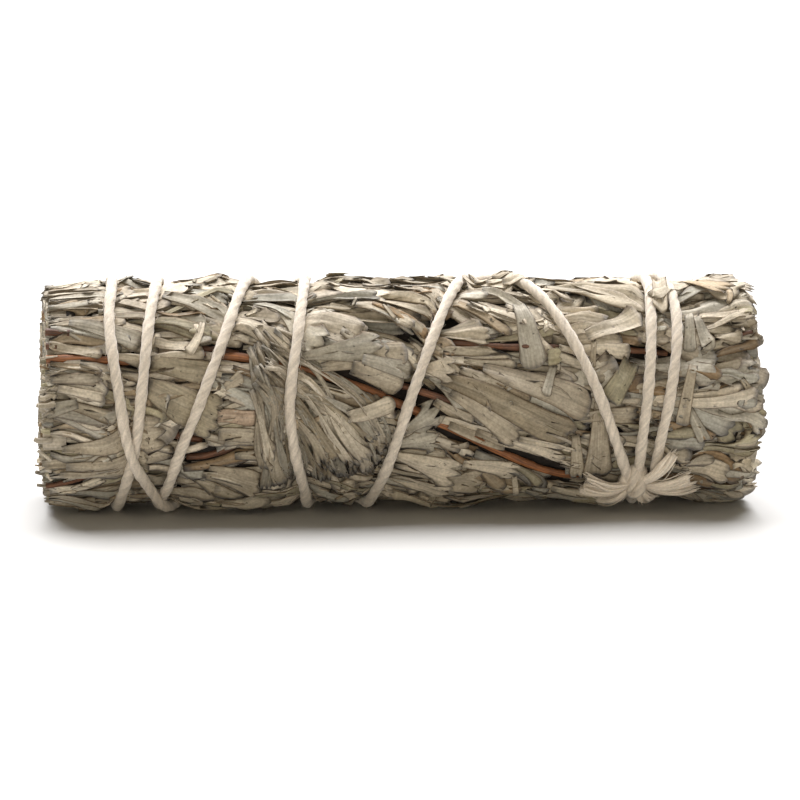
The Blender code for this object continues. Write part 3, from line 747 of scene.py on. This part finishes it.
def scatter_bits(roll):
    """Broken bits of leaf that lie on top in all directions."""
    for _ in range(BIT_COUNT):
        x, angle = draw.uniform(-HALF_LENGTH, RIGHT_END - 0.001), draw.uniform(0, 360)
        bit = Leaf(
            draw.uniform(0.0008, 0.0030), draw.uniform(0.0005, 0.0012), teeth=1, base=0.7, rows=5, columns=5,
            bend=draw.normal(0, 0.4), cup=draw.normal(0, 0.0001), tint=random_tint() * draw.uniform(0.7, 1.1),
        )
        roll.lay(bit, x, angle, draw.normal(0, BIT_STRAY), most_cover=0.3)


# The leaves that stand out in the photograph, from the left to the right, under ones first


def wedge(root, tip, width, base, tint, **details):
    """A leaf with teeth. Its root and tip are pixels, and details says what differs from LEAF_DETAILS."""
    return root, tip, width, dict(details, base=base, tint=tint)


def strap(root, tip, width, base, tint, **details):
    """The same for a leaf without teeth."""
    return wedge(root, tip, width, base, tint, teeth=1, **details)


LEAVES_IN_A_ROW = tuple(
    strap((536 + 6 * n, 300 + 11 * n), (600 + 8 * n, 306 + 11 * n), 0.0022, 0.5, (PALE, GREY)[n % 2])
    for n in range(5)
)
LEAVES_BEFORE_FAN = (
    strap((163, 289), (232, 312), 0.0032, 0.4, BLUISH),
    strap((69, 318), (143, 338), 0.0034, 0.3, BLUISH, flare=0.8, bend=-0.3, cup=0.0002),
    strap((112, 351), (160, 357), 0.0026, 0.5, GREY, bend=0.2),
    strap((152, 356), (205, 352), 0.0026, 0.3, GREY, bend=-0.2),
    strap((155, 336), (190, 343), 0.0018, 0.8, PALE),
    strap((45, 341), (103, 350), 0.0020, 0.6, GREY),
    strap((150, 361), (214, 373), 0.0038, 0.5, BROWNISH, blunt=0.1),
    wedge(
        (146, 384), (222, 424), 0.0068, 0.35, BROWNISH, teeth=4, notch=0.0010, flare=0.8, blunt=0.3,
        bend=0.15, cup=0.0003,
    ),
    strap((218, 417), (257, 418), 0.0020, 0.8, linear(184, 162, 140), blunt=0.2, sway=0.02),
    wedge((219, 435), (259, 437), 0.0022, 0.9, GREY, teeth=2, notch=0.0007),
    strap((66, 468), (176, 458), 0.0030, 0.4, GREY, bend=0.15),
    strap((60, 478), (150, 474), 0.0028, 0.5, GREY),
    wedge((62, 454), (167, 431), 0.0056, 0.15, GREY, flare=1.2, notch=0.0016, cup=0.0003, bend=0.12),
    strap((78, 404), (44, 413), 0.0022, 0.6, BLUISH, cup=0.0004),
    strap((58, 388), (104, 398), 0.0013, 0.8, PALE),
    strap((203, 318), (188, 353), 0.0016, 0.5, PALE, bend=-0.5, lift=0.0004),
    wedge((208, 476), (262, 486), 0.0042, 0.6, GREY, teeth=4, notch=0.0007),
    strap((225, 387), (243, 376), 0.0020, 0.5, GREY),
    strap((232, 316), (290, 352), 0.0034, 0.6, PALE, bend=-0.4),
)
LEAVES_AFTER_FAN = (
    strap((322, 366), (408, 352), 0.0032, 0.4, GREY),
    wedge((298, 354), (383, 349), 0.0044, 0.2, BLUISH, flare=1.2, notch=0.0016, cup=0.0003),
    strap((347, 416), (396, 403), 0.0025, 0.6, PALE, blunt=0.55, bend=0.2, lift=0.0003),
    wedge((395, 452), (441, 437), 0.0048, 0.2, BLUISH),
    wedge((404, 437), (443, 407), 0.0040, 0.2, BLUISH, notch=0.0018, lift=0.0003),
    wedge((414, 486), (486, 484), 0.0048, 0.2, GREY, notch=0.0016),
    wedge((392, 486), (452, 494), 0.0046, 0.2, PALE, notch=0.0018),
    wedge((390, 460), (462, 476), 0.0052, 0.15, PALE, notch=0.0020, cup=0.0003),
    wedge((463, 464), (522, 478), 0.0034, 0.3, PALE),
    strap((352, 366), (404, 385), 0.0038, 0.4, GREY, blunt=0.5, cup=0.0002),
    strap((362, 360), (414, 371), 0.0026, 0.5, BLUISH, blunt=0.6, bend=0.15),
    wedge((440, 329), (492, 334), 0.0028, 0.4, GREY, notch=0.0008),
    strap((716, 331), (744, 333), 0.0018, 0.6, GREY, bend=0.2),
    strap((436, 402), (474, 425), 0.0022, 0.5, GREY, blunt=0.5, bend=0.15),
    strap((440, 420), (500, 441), 0.0015, 0.7, PALE, bend=-0.1, twist=0.0003),
    strap((450, 427), (508, 452), 0.0013, 0.8, GREY, bend=0.15),
    strap((478, 436), (545, 463), 0.0016, 0.6, GREY, bend=0.1, twist=0.0002),
    wedge((494, 439), (566, 466), 0.0019, 0.5, PALE, teeth=2, notch=0.0005, bend=-0.12),
    wedge((451, 393), (523, 444), 0.0042, 0.25, GREY, notch=0.0012, bend=-0.15, cup=0.0002),
    wedge(
        (443, 378), (574, 440), 0.0050, 0.3, DARK, teeth=2, notch=0.0008, flare=0.8, blunt=0.3,
        bend=-0.12, sway=0.012, cup=0.0003, twist=0.0003, rows=16,
    ),
    strap(
        (484, 366), (592, 409), 0.0044, 0.3, GREY * 0.9, flare=0.6, blunt=0.4, bend=-0.15, sway=-0.012,
        cup=0.0003, twist=-0.0003, rows=16,
    ),
    wedge((422, 364), (457, 371), 0.0040, 0.25, PALE, notch=0.0014, lift=0.0003),
    wedge((577, 438), (578, 484), 0.0024, 0.5, GREY, teeth=2, notch=0.0005),
    wedge((601, 402), (597, 486), 0.0046, 0.25, GREY, teeth=2, notch=0.0006, flare=0.8, cup=0.0003),
    strap((520, 442), (577, 456), 0.0012, 0.8, PALE, twist=0.0003),
    strap((515, 481), (516, 498), 0.0010, 0.8, PALE),
    strap((556, 362), (545, 396), 0.0015, 0.7, BLUISH, lift=0.0004),
    strap((526, 318), (548, 356), 0.0026, 0.5, GREY, lift=0.0003),
    strap((519, 302), (536, 367), 0.0040, 0.5, BLUISH, blunt=0.35, cup=0.0004, proud=0.001),
    wedge((549, 356), (563, 354), 0.0022, 0.9, YELLOWISH, teeth=2, notch=0.0004, lift=0.0008),
    strap((594, 338), (595, 366), 0.0008, 0.9, GREY),
    strap((587, 334), (641, 311), 0.0036, 0.5, PALE, cup=0.0005, bend=0.2),
    strap((634, 358), (611, 403), 0.0033, 0.8, YELLOWISH * 0.8, blunt=0.15, sway=0.02, lift=0.0004),
    strap((690, 309), (692, 349), 0.0019, 0.6, BLUISH, cup=0.0003, proud=0.001),
    strap((698, 313), (711, 349), 0.0022, 0.6, BLUISH, cup=0.0003, proud=0.001),
    strap((684, 404), (764, 394), 0.0022, 0.6, PALE, bend=0.25, twist=0.0008, cup=0.0004),
    strap((690, 410), (707, 446), 0.0020, 0.6, BLUISH, cup=0.0003),
    strap((694, 364), (683, 429), 0.0020, 0.6, GREY, bend=0.2, cup=0.0003, proud=0.001),
    strap((468, 280), (512, 278), 0.0030, 0.7, PALE, over_cord=True),
)
LAST_LEAVES = (
    strap((659, 277), (660, 308), 0.0024, 0.8, PALE, over_cord=True),
    strap((737, 270), (650, 297), 0.0018, 1.0, PALE, bend=0.15, over_cord=True),
)
SMALL_LEAVES_OVER_CORD = (
    (0.0085, 84), (0.0105, 91), (0.0120, 85), (0.0132, 93), (0.0100, 99), (0.0142, 82),
)  # x and angle
FAN_LAYERS, FAN_STALKS = 3, 12
FAN_ROOT, FAN_TIP = (251, 332), (264, 488)  # its first stalk's pixels
FAN_ROOT_SPREAD, FAN_TIP_SPREAD = 20, (126, -12)  # from its first stalk to its last, in pixels


def lay_fan(roll):
    """The fan of narrow stalks that hangs down between the third and fifth turns of cord."""
    (root_x, root_y), (tip_x, tip_y), (aside, down) = FAN_ROOT, FAN_TIP, FAN_TIP_SPREAD
    for layer in range(FAN_LAYERS):
        for n in range(FAN_STALKS):
            share = n / (FAN_STALKS - 1) + draw.uniform(-0.05, 0.05)
            from_x = root_x + FAN_ROOT_SPREAD * share + draw.uniform(-4, 4)
            from_y = root_y + draw.uniform(-8, 18) + 20 * layer
            to_y = tip_y + down * share - draw.uniform(0, 22) * layer
            roll.lay_seen(
                (from_x, from_y), (tip_x + aside * share, to_y), draw.uniform(0.0013, 0.0026),
                base=0.4, flare=draw.uniform(2.5, 5), rows=16,
                bend=-0.10 - 0.75 * share + draw.normal(0, 0.12), notch=draw.uniform(0.0003, 0.0011),
                sway=draw.normal(0, 0.03), cup=draw.normal(0.0002, 0.0004), twist=draw.normal(0, 0.0004),
                ripple=0.00014,
                tint=(BLUISH, GREY, PALE, DARK)[draw.integers(4)] * draw.uniform(0.72, 0.98),
            )


def lay_seen_leaves(roll):
    for root, tip, width, details in LEAVES_IN_A_ROW + LEAVES_BEFORE_FAN:
        roll.lay_seen(root, tip, width, **details)
    lay_fan(roll)
    for root, tip, width, details in LEAVES_AFTER_FAN:
        roll.lay_seen(root, tip, width, **details)
    for x, angle in SMALL_LEAVES_OVER_CORD:
        leaf = Leaf(
            0.0066, 0.0026, teeth=1, base=0.4, bend=draw.normal(0, 0.3), ripple=0.00003, over_cord=True,
            tint=(PALE, GREY)[draw.integers(2)],
        )
        roll.lay(leaf, x, angle, draw.normal(0, 0.15))
    for root, tip, width, details in LAST_LEAVES:
        roll.lay_seen(root, tip, width, **details)


# Looks


def wired(look, kind, inputs=None, **settings):
    """A node with these settings, whose inputs take values or other nodes' outputs."""
    made = look.node_tree.nodes.new(kind)
    for name, value in settings.items():
        setattr(made, name, value)
    for name, value in (inputs or {}).items():
        if isinstance(value, bpy.types.NodeSocket):
            look.node_tree.links.new(value, made.inputs[name])
        else:
            made.inputs[name].default_value = value
    return made


def shaded(look, value, shades):
    """Greys for a value from 0 to 1, by (value, grey) pairs."""
    made = wired(look, "ShaderNodeValToRGB", {"Fac": value})
    elements = made.color_ramp.elements
    while len(elements) < len(shades):
        elements.new(0.5)
    for element, (position, shade) in zip(elements, shades):
        element.position = position
        element.color = (shade, shade, shade, 1)
    return made.outputs["Color"]


def layered_look(name, layers, **surface):
    """A material in the piece's own tints, which layers of noise shade and bump.

    A layer says what it lies along, the grain or the object, then its stretch, size, detail and shades, and
    where it has a bump, the bump's strength and depth.
    """
    look = bpy.data.materials.new(name)
    look.use_nodes = True
    grain = wired(look, "ShaderNodeAttribute", attribute_name="grain").outputs["Vector"]
    places = {"grain": grain, "object": wired(look, "ShaderNodeTexCoord").outputs["Object"]}
    colour = wired(look, "ShaderNodeAttribute", attribute_name="tint").outputs["Color"]
    bump = None
    for along, stretch, size, detail, shades, *relief in layers:
        mapping = wired(look, "ShaderNodeMapping", {"Vector": places[along], "Scale": stretch})
        inputs = {"Vector": mapping.outputs["Vector"], "Scale": size, "Detail": detail}
        noise = wired(look, "ShaderNodeTexNoise", inputs).outputs["Fac"]
        inputs = {"Factor": 1, "A": colour, "B": shaded(look, noise, shades)}
        mix = wired(look, "ShaderNodeMix", inputs, data_type="RGBA", blend_type="MULTIPLY")
        colour = mix.outputs["Result"]
        if relief:
            inputs = {"Strength": relief[0], "Distance": relief[1], "Height": noise}
            if bump:
                inputs["Normal"] = bump
            bump = wired(look, "ShaderNodeBump", inputs).outputs["Normal"]
    shader = look.node_tree.nodes["Principled BSDF"]
    look.node_tree.links.new(colour, shader.inputs["Base Color"])
    look.node_tree.links.new(bump, shader.inputs["Normal"])
    for quality, value in surface.items():
        shader.inputs[quality.replace("_", " ")].default_value = value
    return look


def leaf_look():
    """Felted dry leaf: long wrinkles, fine felt, blotches, and small dark specks."""
    layers = (
        ("grain", (160, 3400, 40), 1.0, 4.0, ((0.32, 0.74), (0.58, 1.05)), 0.55, 0.00012),
        ("object", (1, 1, 1), 2600, 6.0, ((0.35, 0.80), (0.65, 1.08)), 0.35, 0.00005),
        ("object", (1, 1, 1), 420, 3.0, ((0.32, 0.80), (0.60, 1.05))),
        ("object", (1, 1, 1), 1500, 2.0, ((0.24, 0.35), (0.31, 1.0))),
    )
    return layered_look("dried_sage_look", layers, Roughness=0.88, Specular_IOR_Level=0.25, Sheen_Weight=0.12)


def painted_shade_look():
    """A near-black layer under the leaves: painted shade in the gaps between them."""
    layers = (("object", (0.35, 1, 1), 1400, 5.0, ((0.3, 0.35), (0.7, 1.5)), 1.0, 0.0003),)
    return layered_look("packed_painted_shade_look", layers, Roughness=0.95)


def bark_look():
    """Thin red-brown bark with pale splits along it, and rings."""
    layers = (
        ("grain", (220, 2600, 30), 1.0, 5.0, ((0.30, 0.40), (0.52, 1.0), (0.70, 1.6)), 0.8, 0.00012),
        ("grain", (700, 300, 30), 1.0, 2.0, ((0.30, 0.6), (0.55, 1.1))),
    )
    return layered_look("stem_bark_look", layers, Roughness=0.62)


def cotton_look():
    """Undyed cotton: fine fibres along the plies, fluff, and a few specks."""
    layers = (
        ("grain", (400, 2200, 20), 1.0, 5.0, ((0.30, 0.80), (0.60, 1.05)), 0.6, 0.00010),
        ("object", (1, 1, 1), 3200, 4.0, ((0.30, 0.86), (0.60, 1.04)), 0.4, 0.00005),
        ("object", (1, 1, 1), 900, 1.0, ((0.16, 0.45), (0.22, 1.0))),
    )
    return layered_look("cotton_look", layers, Roughness=0.95, Sheen_Weight=0.3)


# Twigs, litter and the chopped ends


def running_mean(values, count):
    return np.convolve(np.pad(values, count // 2, mode="edge"), np.ones(count) / count, mode="valid")


def add_twig(roll, pile, radius, pixels):
    """A bare twig through pixels of the photograph. Leaves laid later keep clear of it."""
    spots = [on_roll(pixel) for pixel in pixels]
    x = np.arange(max(spots[0][0], -HALF_LENGTH - 0.0005), spots[-1][0], 0.0005)
    angle = running_mean(np.interp(x, [spot[0] for spot in spots], [spot[1] for spot in spots]), 7)
    angle += 0.4 * np.sin(x * draw.uniform(300, 500))
    top = running_mean(np.minimum(read_map(roll.surface, x, angle) - 0.0002, TWIG_TOP), 9)
    under_cord = SEAT_RADIUS + GAP + 0.0008 * smooth_step(read_map(roll.cord_gap, x, angle) / 0.0025)
    top = running_mean(np.minimum(top, under_cord), 3)
    ends = np.minimum(x - x[0], x[-1] - x)
    taper = np.where(x < 0, 1.0, 1 - 0.3 * x / HALF_LENGTH)
    radii = radius * taper * (1 + 0.06 * np.sin(x * 900) + 0.04 * np.sin(x * 2300))
    sunk = 0.0006 * (1 - smooth_step(ends / 0.003)) * (np.abs(x) < HALF_LENGTH - 0.004)
    path = place(x, angle, top - radii - sunk)
    tint = BARK_TINT * draw.uniform(0.7, 1.0) if radius < 0.0006 else ORANGE_TINT
    add_bar(pile, path, radii, 12, tint)
    slope = np.gradient(np.radians(angle) * SEAT_RADIUS, x)
    beside = gap_map(angle, x, 0.0030) < 0.0029
    roll.heading = np.where(beside, np.interp(MAP_X, x, np.arctan(slope))[:, None], roll.heading)
    bare = gap_map(angle, x, 0.0012) < radius
    roll.kept_bare[bare] = 1
    roll.twig_top[bare] = np.minimum(TWIG_TOP, np.broadcast_to(roll.surface, bare.shape)[bare])
    roll.height[bare] = np.maximum(roll.height, roll.twig_top)[bare]


def add_hidden_twig(pile, angle_at, depth_radius):
    """A twig deep in the roll, which shows only at the butt end."""
    x = np.linspace(-HALF_LENGTH - 0.0003, HALF_LENGTH - 0.0030, 24)
    path = place(x, angle_at(x), depth_radius)
    add_bar(pile, path, BUTT_TWIG_RADIUS * np.linspace(1, 0.6, len(x)), 10, BARK_TINT)
    disc = place(x[:2] - (0.00006, 0.0), angle_at(x[:2]), depth_radius)
    add_bar(pile, disc, np.full(2, BUTT_TWIG_RADIUS * 0.8), 10, PITH_TINT)


def painted_shade_shell(roll, pile, number):
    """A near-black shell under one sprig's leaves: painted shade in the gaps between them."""
    rows = np.arange(0, len(MAP_X), PAINTED_SHADE_STEP)
    rows = rows[(MAP_X[rows] > -HALF_LENGTH + END_HOLLOW) & (MAP_X[rows] < RIGHT_END - END_HOLLOW)]
    x = MAP_X[rows][:, None]
    low = (sprig_middle(number - 1, x) + sprig_middle(number, x)) / 2
    high = (sprig_middle(number, x) + sprig_middle(number + 1, x)) / 2
    angle = low + (high - low) * np.linspace(0, 1, PAINTED_SHADE_COLUMNS)[None, :]
    shell_jitter = draw.uniform(-0.00025, 0.00025, angle.shape)
    outer = place(x, angle, read_map(roll.painted_shade, x + 0 * angle, angle) + shell_jitter)
    inner = place(x, angle[:, ::-1], PAINTED_SHADE_BOTTOM)
    rings = np.concatenate((outer, inner), axis=1)
    pile.add(rings, tube_faces(len(rows), rings.shape[1]), PAINTED_SHADE_TINT, (0.0, 0.0, 0.0))


def painted_shade_core(pile, angle):
    # A near-black bar along the roll's middle: painted shade deep among the leaves.
    x = np.linspace(-HALF_LENGTH + END_HOLLOW, RIGHT_END - END_HOLLOW, 8)
    add_bar(pile, place(x, angle, PAINTED_SHADE_CORE), np.full(len(x), PAINTED_SHADE_CORE), 12, PAINTED_SHADE_TINT)


def add_strip(pile, side, y, z, turn, tint):
    """The chopped end of one leaf that lies along the roll, seen end on."""
    width, thickness = draw.uniform(0.0012, 0.0042), draw.uniform(0.00018, 0.00045)
    curl = draw.normal(0, 0.35)
    s = np.linspace(-0.5, 0.5, STRIP_POINTS)
    sides = 2 * STRIP_POINTS
    spine = np.stack((s * width, curl * width * (s * s - 0.08)), axis=-1)
    slope = np.stack((-2 * curl * s, np.ones(STRIP_POINTS)), axis=-1)
    offset = slope * (thickness / 2 * np.sqrt(np.clip(1 - 3.4 * s * s, 0.05, 1)))[:, None]
    ring = np.concatenate((spine + offset, (spine - offset)[::-1]))
    across = np.cos(turn) * ring[:, 0] - np.sin(turn) * ring[:, 1]
    up = np.sin(turn) * ring[:, 0] + np.cos(turn) * ring[:, 1]
    end = HALF_LENGTH + butt_swell(math.degrees(math.atan2(z - AXIS_HEIGHT, -y))) if side < 0 else RIGHT_END
    reach = end + draw.uniform(-0.0009, 0.0004)
    ragged = draw.uniform(-0.00015, 0.00015, sides)
    heights = np.maximum(z + up, 0.0001)
    steps = (np.full(sides, end - END_DEPTH), reach + ragged)
    rings = [np.stack((side * step, y + across, heights), axis=-1) for step in steps]
    faces = [faces[:, ::-side] for faces in tube_faces(2, sides)]
    along = np.repeat((0.0, 0.003), sides)
    grains = np.stack((along, np.tile(ring[:, 0], 2), np.full(2 * sides, draw.random())), axis=-1)
    pile.add(np.array(rings), faces, tint, grains)


def add_chopped_ends(roll, inner_piles):
    """Fills both cut faces with leaf ends that lie round the axis."""
    for side in (-1, 1):
        for n in range(STRIPS_PER_END):
            distance = END_RADIUS * math.sqrt((n + 0.5) / STRIPS_PER_END)
            angle = (n * GOLDEN_ANGLE + draw.uniform(-12, 12)) % 360
            distance = min(distance, float(floor_limit(angle, 0.0012)))
            stray = draw.normal(0, 0.1 + 0.5 * (1 - distance / END_RADIUS))
            turn = math.pi / 2 - math.radians(angle) + stray
            _, y, z = place(0.0, angle, distance)
            tint = random_tint() * draw.uniform(0.45, 0.95)
            number = sprig_at(side * HALF_LENGTH, angle)
            pile = roll.piles[number] if distance > INNER_END_RADIUS else inner_piles[int(angle // 120)]
            add_strip(pile, side, y, z, turn, tint)


def add_end_crumbs(roll):
    """Broken stalks and bits that stick out of the butt end, and two pale stubs that the photograph shows."""
    steps = np.linspace(0, 1, 5)[:, None]
    for _ in range(END_CRUMBS):
        angle = draw.uniform(-58, 40)
        distance = min(draw.uniform(0.0115, 0.0162), float(floor_limit(angle, 0.0016)))
        lean = np.array((-draw.uniform(0.0014, 0.0024), draw.normal(0, 0.0005), draw.normal(0, 0.0005)))
        path = place(-HALF_LENGTH + 0.0012 - butt_swell(angle), angle, distance) + steps * lean
        path = path + np.sin(steps * draw.uniform(2, 6)) * draw.normal(0, 0.0002, 3)
        widths = draw.uniform(0.00016, 0.00055) * np.linspace(1, 0.7, 5)
        pile = roll.piles[sprig_at(-HALF_LENGTH, angle)]
        add_bar(pile, path, widths, 6, random_tint() * draw.uniform(0.5, 1.1))
    for pixel, half in STUBS:
        _, angle = on_roll(pixel)
        path = place(np.linspace(-HALF_LENGTH + 0.001, -HALF_LENGTH - 0.0013, 5), angle, 0.0148)
        widths = half * np.array((1, 1.1, 1, 0.9, 0.4))
        add_bar(roll.piles[sprig_at(-HALF_LENGTH, angle)], path, widths, 8, YELLOWISH * 0.9)


# The cord


def cord_path():
    """The wound cord's middle line, lifted where it crosses itself."""
    angles, places = cord_route(1.4)
    lifts = running_mean(cord_lifts(angles, places), 5)
    radius = SEAT_RADIUS + GAP + CORD_DIAMETER / 2 + lifts
    return place(places, angles, np.minimum(radius, floor_limit(angles, CORD_DIAMETER / 2 + FLOOR_CLEARANCE)))


def add_twisted(pile, path, half, sides):
    """A cord of plies twisted round each other, so that its outline is lobed and turns."""
    lengths = path_lengths(path)[:, None]
    turns = np.linspace(0, 2 * np.pi, sides, endpoint=False)
    phase = lengths * 2 * np.pi / PLY_PITCH + 0.3 * np.sin(lengths * 170)
    lobes = np.abs(np.cos(PLIES / 2 * (turns[None, :] - phase)))
    uneven = 1 + 0.05 * np.sin(lengths * 610) + 0.04 * np.sin(lengths * 1330 + 1)
    points = round_path(path, turns, half * (1 - PLY_DEPTH + PLY_DEPTH * 1.35 * lobes) * uneven)
    # The grooves between the plies are darker: painted shade.
    tints = COTTON_TINT * (0.84 + 0.16 * lobes)[..., None]
    grains = np.stack(np.broadcast_arrays(lengths, (turns[None, :] - phase) * half, 0.5), axis=-1)
    pile.add(points, tube_faces(len(path), sides), tints, grains)


def add_fuzz(pile, path):
    """Loose fibres that stand off the cord."""
    across, other = path_frames(path)
    for _ in range(FUZZ_COUNT):
        n = draw.integers(1, len(path) - 1)
        turn = draw.uniform(0, 2 * math.pi)
        out = across[n] * math.cos(turn) + other[n] * math.sin(turn)
        ahead = path[n + 1] - path[n]
        ahead = ahead / np.linalg.norm(ahead) * draw.choice((-1, 1))
        reach, lean = draw.uniform(0.0002, 0.0006), draw.uniform(0.0004, 0.0015)
        start = path[n] + out * CORD_DIAMETER * 0.40
        middle = start + out * reach * 0.7 + ahead * lean * 0.4
        end = start + out * reach * draw.uniform(0.2, 1.1) + ahead * lean
        fibre = np.array((start, middle, end))
        fibre[:, 2] = np.maximum(fibre[:, 2], 0.00005)
        add_bar(pile, fibre, np.array((0.000028, 0.000022, 0.000012)), 3, COTTON_TINT)


def add_knot(pile):
    """The half hitches at the lower right: loops over the cords, and a lump under them."""
    turns = np.linspace(-1, 1, 26)
    bow = np.cos(turns * np.pi / 2)
    for offset, span, rise, slant in KNOT_LOOPS:
        x = KNOT_X + offset + slant * turns
        radius = KNOT_RADIUS - 0.0010 + rise * bow**0.7
        add_twisted(pile, place(x, KNOT_ANGLE + span * turns, radius), 0.00068, sides=14)
    for tilt, lift in ((-3, 0.0003), (4, 0.0006)):
        path = place(KNOT_X + 0.0024 * turns, KNOT_ANGLE + tilt * turns, KNOT_RADIUS + lift * bow)
        add_twisted(pile, path, 0.00072, sides=14)


def add_tail(pile, tip_pixel):
    """A cut cord end that has come untwisted: thick strands, and fine loose fibres among them."""
    tip_x, tip_angle = on_roll(tip_pixel, TAIL_TIP_RADIUS)
    steps = np.linspace(0, 1, 14)
    heading = math.atan2(math.radians(tip_angle - KNOT_ANGLE) * SEAT_RADIUS, tip_x - KNOT_X)
    spread = draw.uniform(0.0001, 0.0003)
    for n in range(TAIL_STRANDS + TAIL_FIBRES):
        thick = n < TAIL_STRANDS
        aside, up = draw.normal(0, 1), draw.normal(0, 1)
        reach = TAIL_START + (1 - TAIL_START) * steps * draw.uniform(0.88, 1.0 if thick else 1.10)
        off = aside * (0.00015 + spread * np.sin(0.75 * math.pi * steps)) * (1.0 if thick else 1.3)
        off += 0.00018 * np.sin(steps * draw.uniform(4, 9) + draw.uniform(0, 6)) * steps
        x = KNOT_X + (tip_x - KNOT_X) * reach - math.sin(heading) * off
        angle = KNOT_ANGLE + (tip_angle - KNOT_ANGLE) * reach + degrees_of(math.cos(heading) * off)
        radius = TAIL_RADIUS + TAIL_ARCH * np.sin(steps * math.pi) + up * (0.00018 + 0.00020 * steps)
        radius = np.minimum(np.maximum(radius, TAIL_LOWEST), floor_limit(angle, 0.0004))
        widths = np.linspace(0.00036, 0.00026, 14) if thick else np.linspace(0.00009, 0.00004, 14)
        shade = COTTON_TINT * draw.uniform(1.0, 1.25)
        add_bar(pile, place(x, angle, radius), widths * draw.uniform(0.65, 1.3), 7 if thick else 4, shade)


def make_floor():
    mesh = bpy.data.meshes.new("floor")
    corners = [(FLOOR_HALF * x, FLOOR_HALF * y, 0) for x, y in ((-1, -1), (1, -1), (1, 1), (-1, 1))]
    mesh.from_pydata(corners, [], [(0, 1, 2, 3)])
    floor = add_object("floor", mesh)
    look = bpy.data.materials.new("floor_look")
    look.use_nodes = True
    inputs = look.node_tree.nodes["Principled BSDF"].inputs
    inputs["Base Color"].default_value = FLOOR_COLOUR
    inputs["Roughness"].default_value = 0.6
    inputs["Specular IOR Level"].default_value = 0.2
    mesh.materials.append(look)


def make_sun(name, azimuth, elevation, strength, softness, colour):
    """A light so far off that it lights the whole floor alike. Azimuth 0 shines from the camera's side."""
    data = bpy.data.lights.new(name, "SUN")
    data.energy = strength
    data.angle = math.radians(softness)
    data.color = colour
    light = add_object(name, data)
    a, e = math.radians(azimuth), math.radians(elevation)
    source = Vector((math.sin(a) * math.cos(e), -math.cos(a) * math.cos(e), math.sin(e)))
    light.rotation_mode = "QUATERNION"
    light.rotation_quaternion = source.to_track_quat("Z", "Y")


def light_scene():
    world = bpy.data.worlds.new("studio")
    world.use_nodes = True
    background = world.node_tree.nodes["Background"]
    background.inputs["Color"].default_value = SKY_COLOUR
    background.inputs["Strength"].default_value = SKY_STRENGTH
    bpy.context.scene.world = world
    make_sun("key", *KEY_LIGHT)
    make_sun("fill", *FILL_LIGHT)
    bpy.context.scene.view_settings.view_transform = "Standard"


def make_outer_sprigs(roll, twig_piles, sage, painted_shade, bark):
    for number, (leaves, twigs) in enumerate(zip(roll.piles, twig_piles)):
        sprig = f"outer_sprig_{number + 1}"
        make_piece(f"leaves_{number + 1}", leaves, sage, "dried_sage", f"{sprig}_leaves")
        shell = Pile()
        painted_shade_shell(roll, shell, number)
        make_piece(f"litter_{number + 1}", shell, painted_shade, "dried_sage")
        add_hidden_twig(twigs, lambda x, n=number: sprig_middle(n, x), SEAT_RADIUS - TWIG_DEPTH)
        make_piece(f"twigs_{number + 1}", twigs, bark, "stem_bark", f"{sprig}_stem")


def make_inner_sprigs(inner_piles, sage, painted_shade, bark):
    for number, leaves in enumerate(inner_piles):
        sprig, turn = f"inner_sprig_{number + 1}", 360 / INNER_COUNT * number
        make_piece(f"core_leaves_{number + 1}", leaves, sage, "dried_sage", f"{sprig}_leaves")
        core, twig = Pile(), Pile()
        painted_shade_core(core, turn)
        make_piece(f"core_painted_shade_{number + 1}", core, painted_shade, "dried_sage")
        add_hidden_twig(twig, lambda x, a=turn: 0 * x + a, INNER_TWIG_CIRCLE)
        make_piece(f"core_twig_{number + 1}", twig, bark, "stem_bark", f"{sprig}_stem")


def make_cord(cotton):
    path = cord_path()
    cord, fuzz = Pile(), Pile()
    add_twisted(cord, path, CORD_DIAMETER / 2, 18)
    add_knot(cord)
    make_piece("cord", cord, cotton, "cotton", "cotton_cord")
    add_fuzz(fuzz, path)
    for pixel in TAIL_TIPS:
        add_tail(fuzz, pixel)
    make_piece("frayed_cotton", fuzz, cotton, "cotton")


def main():
    make_camera()
    light_scene()
    make_floor()
    sage, painted_shade, bark, cotton = leaf_look(), painted_shade_look(), bark_look(), cotton_look()
    roll = Roll()
    twig_piles = [Pile() for _ in OUTER_SPRIGS]
    for number, radius, pixels in TWIGS:
        add_twig(roll, twig_piles[number], radius, pixels)
    lay_leaves(roll)
    tuck_straps(roll)
    scatter_bits(roll)
    lay_seen_leaves(roll)
    inner_piles = [Pile() for _ in range(INNER_COUNT)]
    add_chopped_ends(roll, inner_piles)
    add_end_crumbs(roll)
    make_outer_sprigs(roll, twig_piles, sage, painted_shade, bark)
    make_inner_sprigs(inner_piles, sage, painted_shade, bark)
    make_cord(cotton)


main()
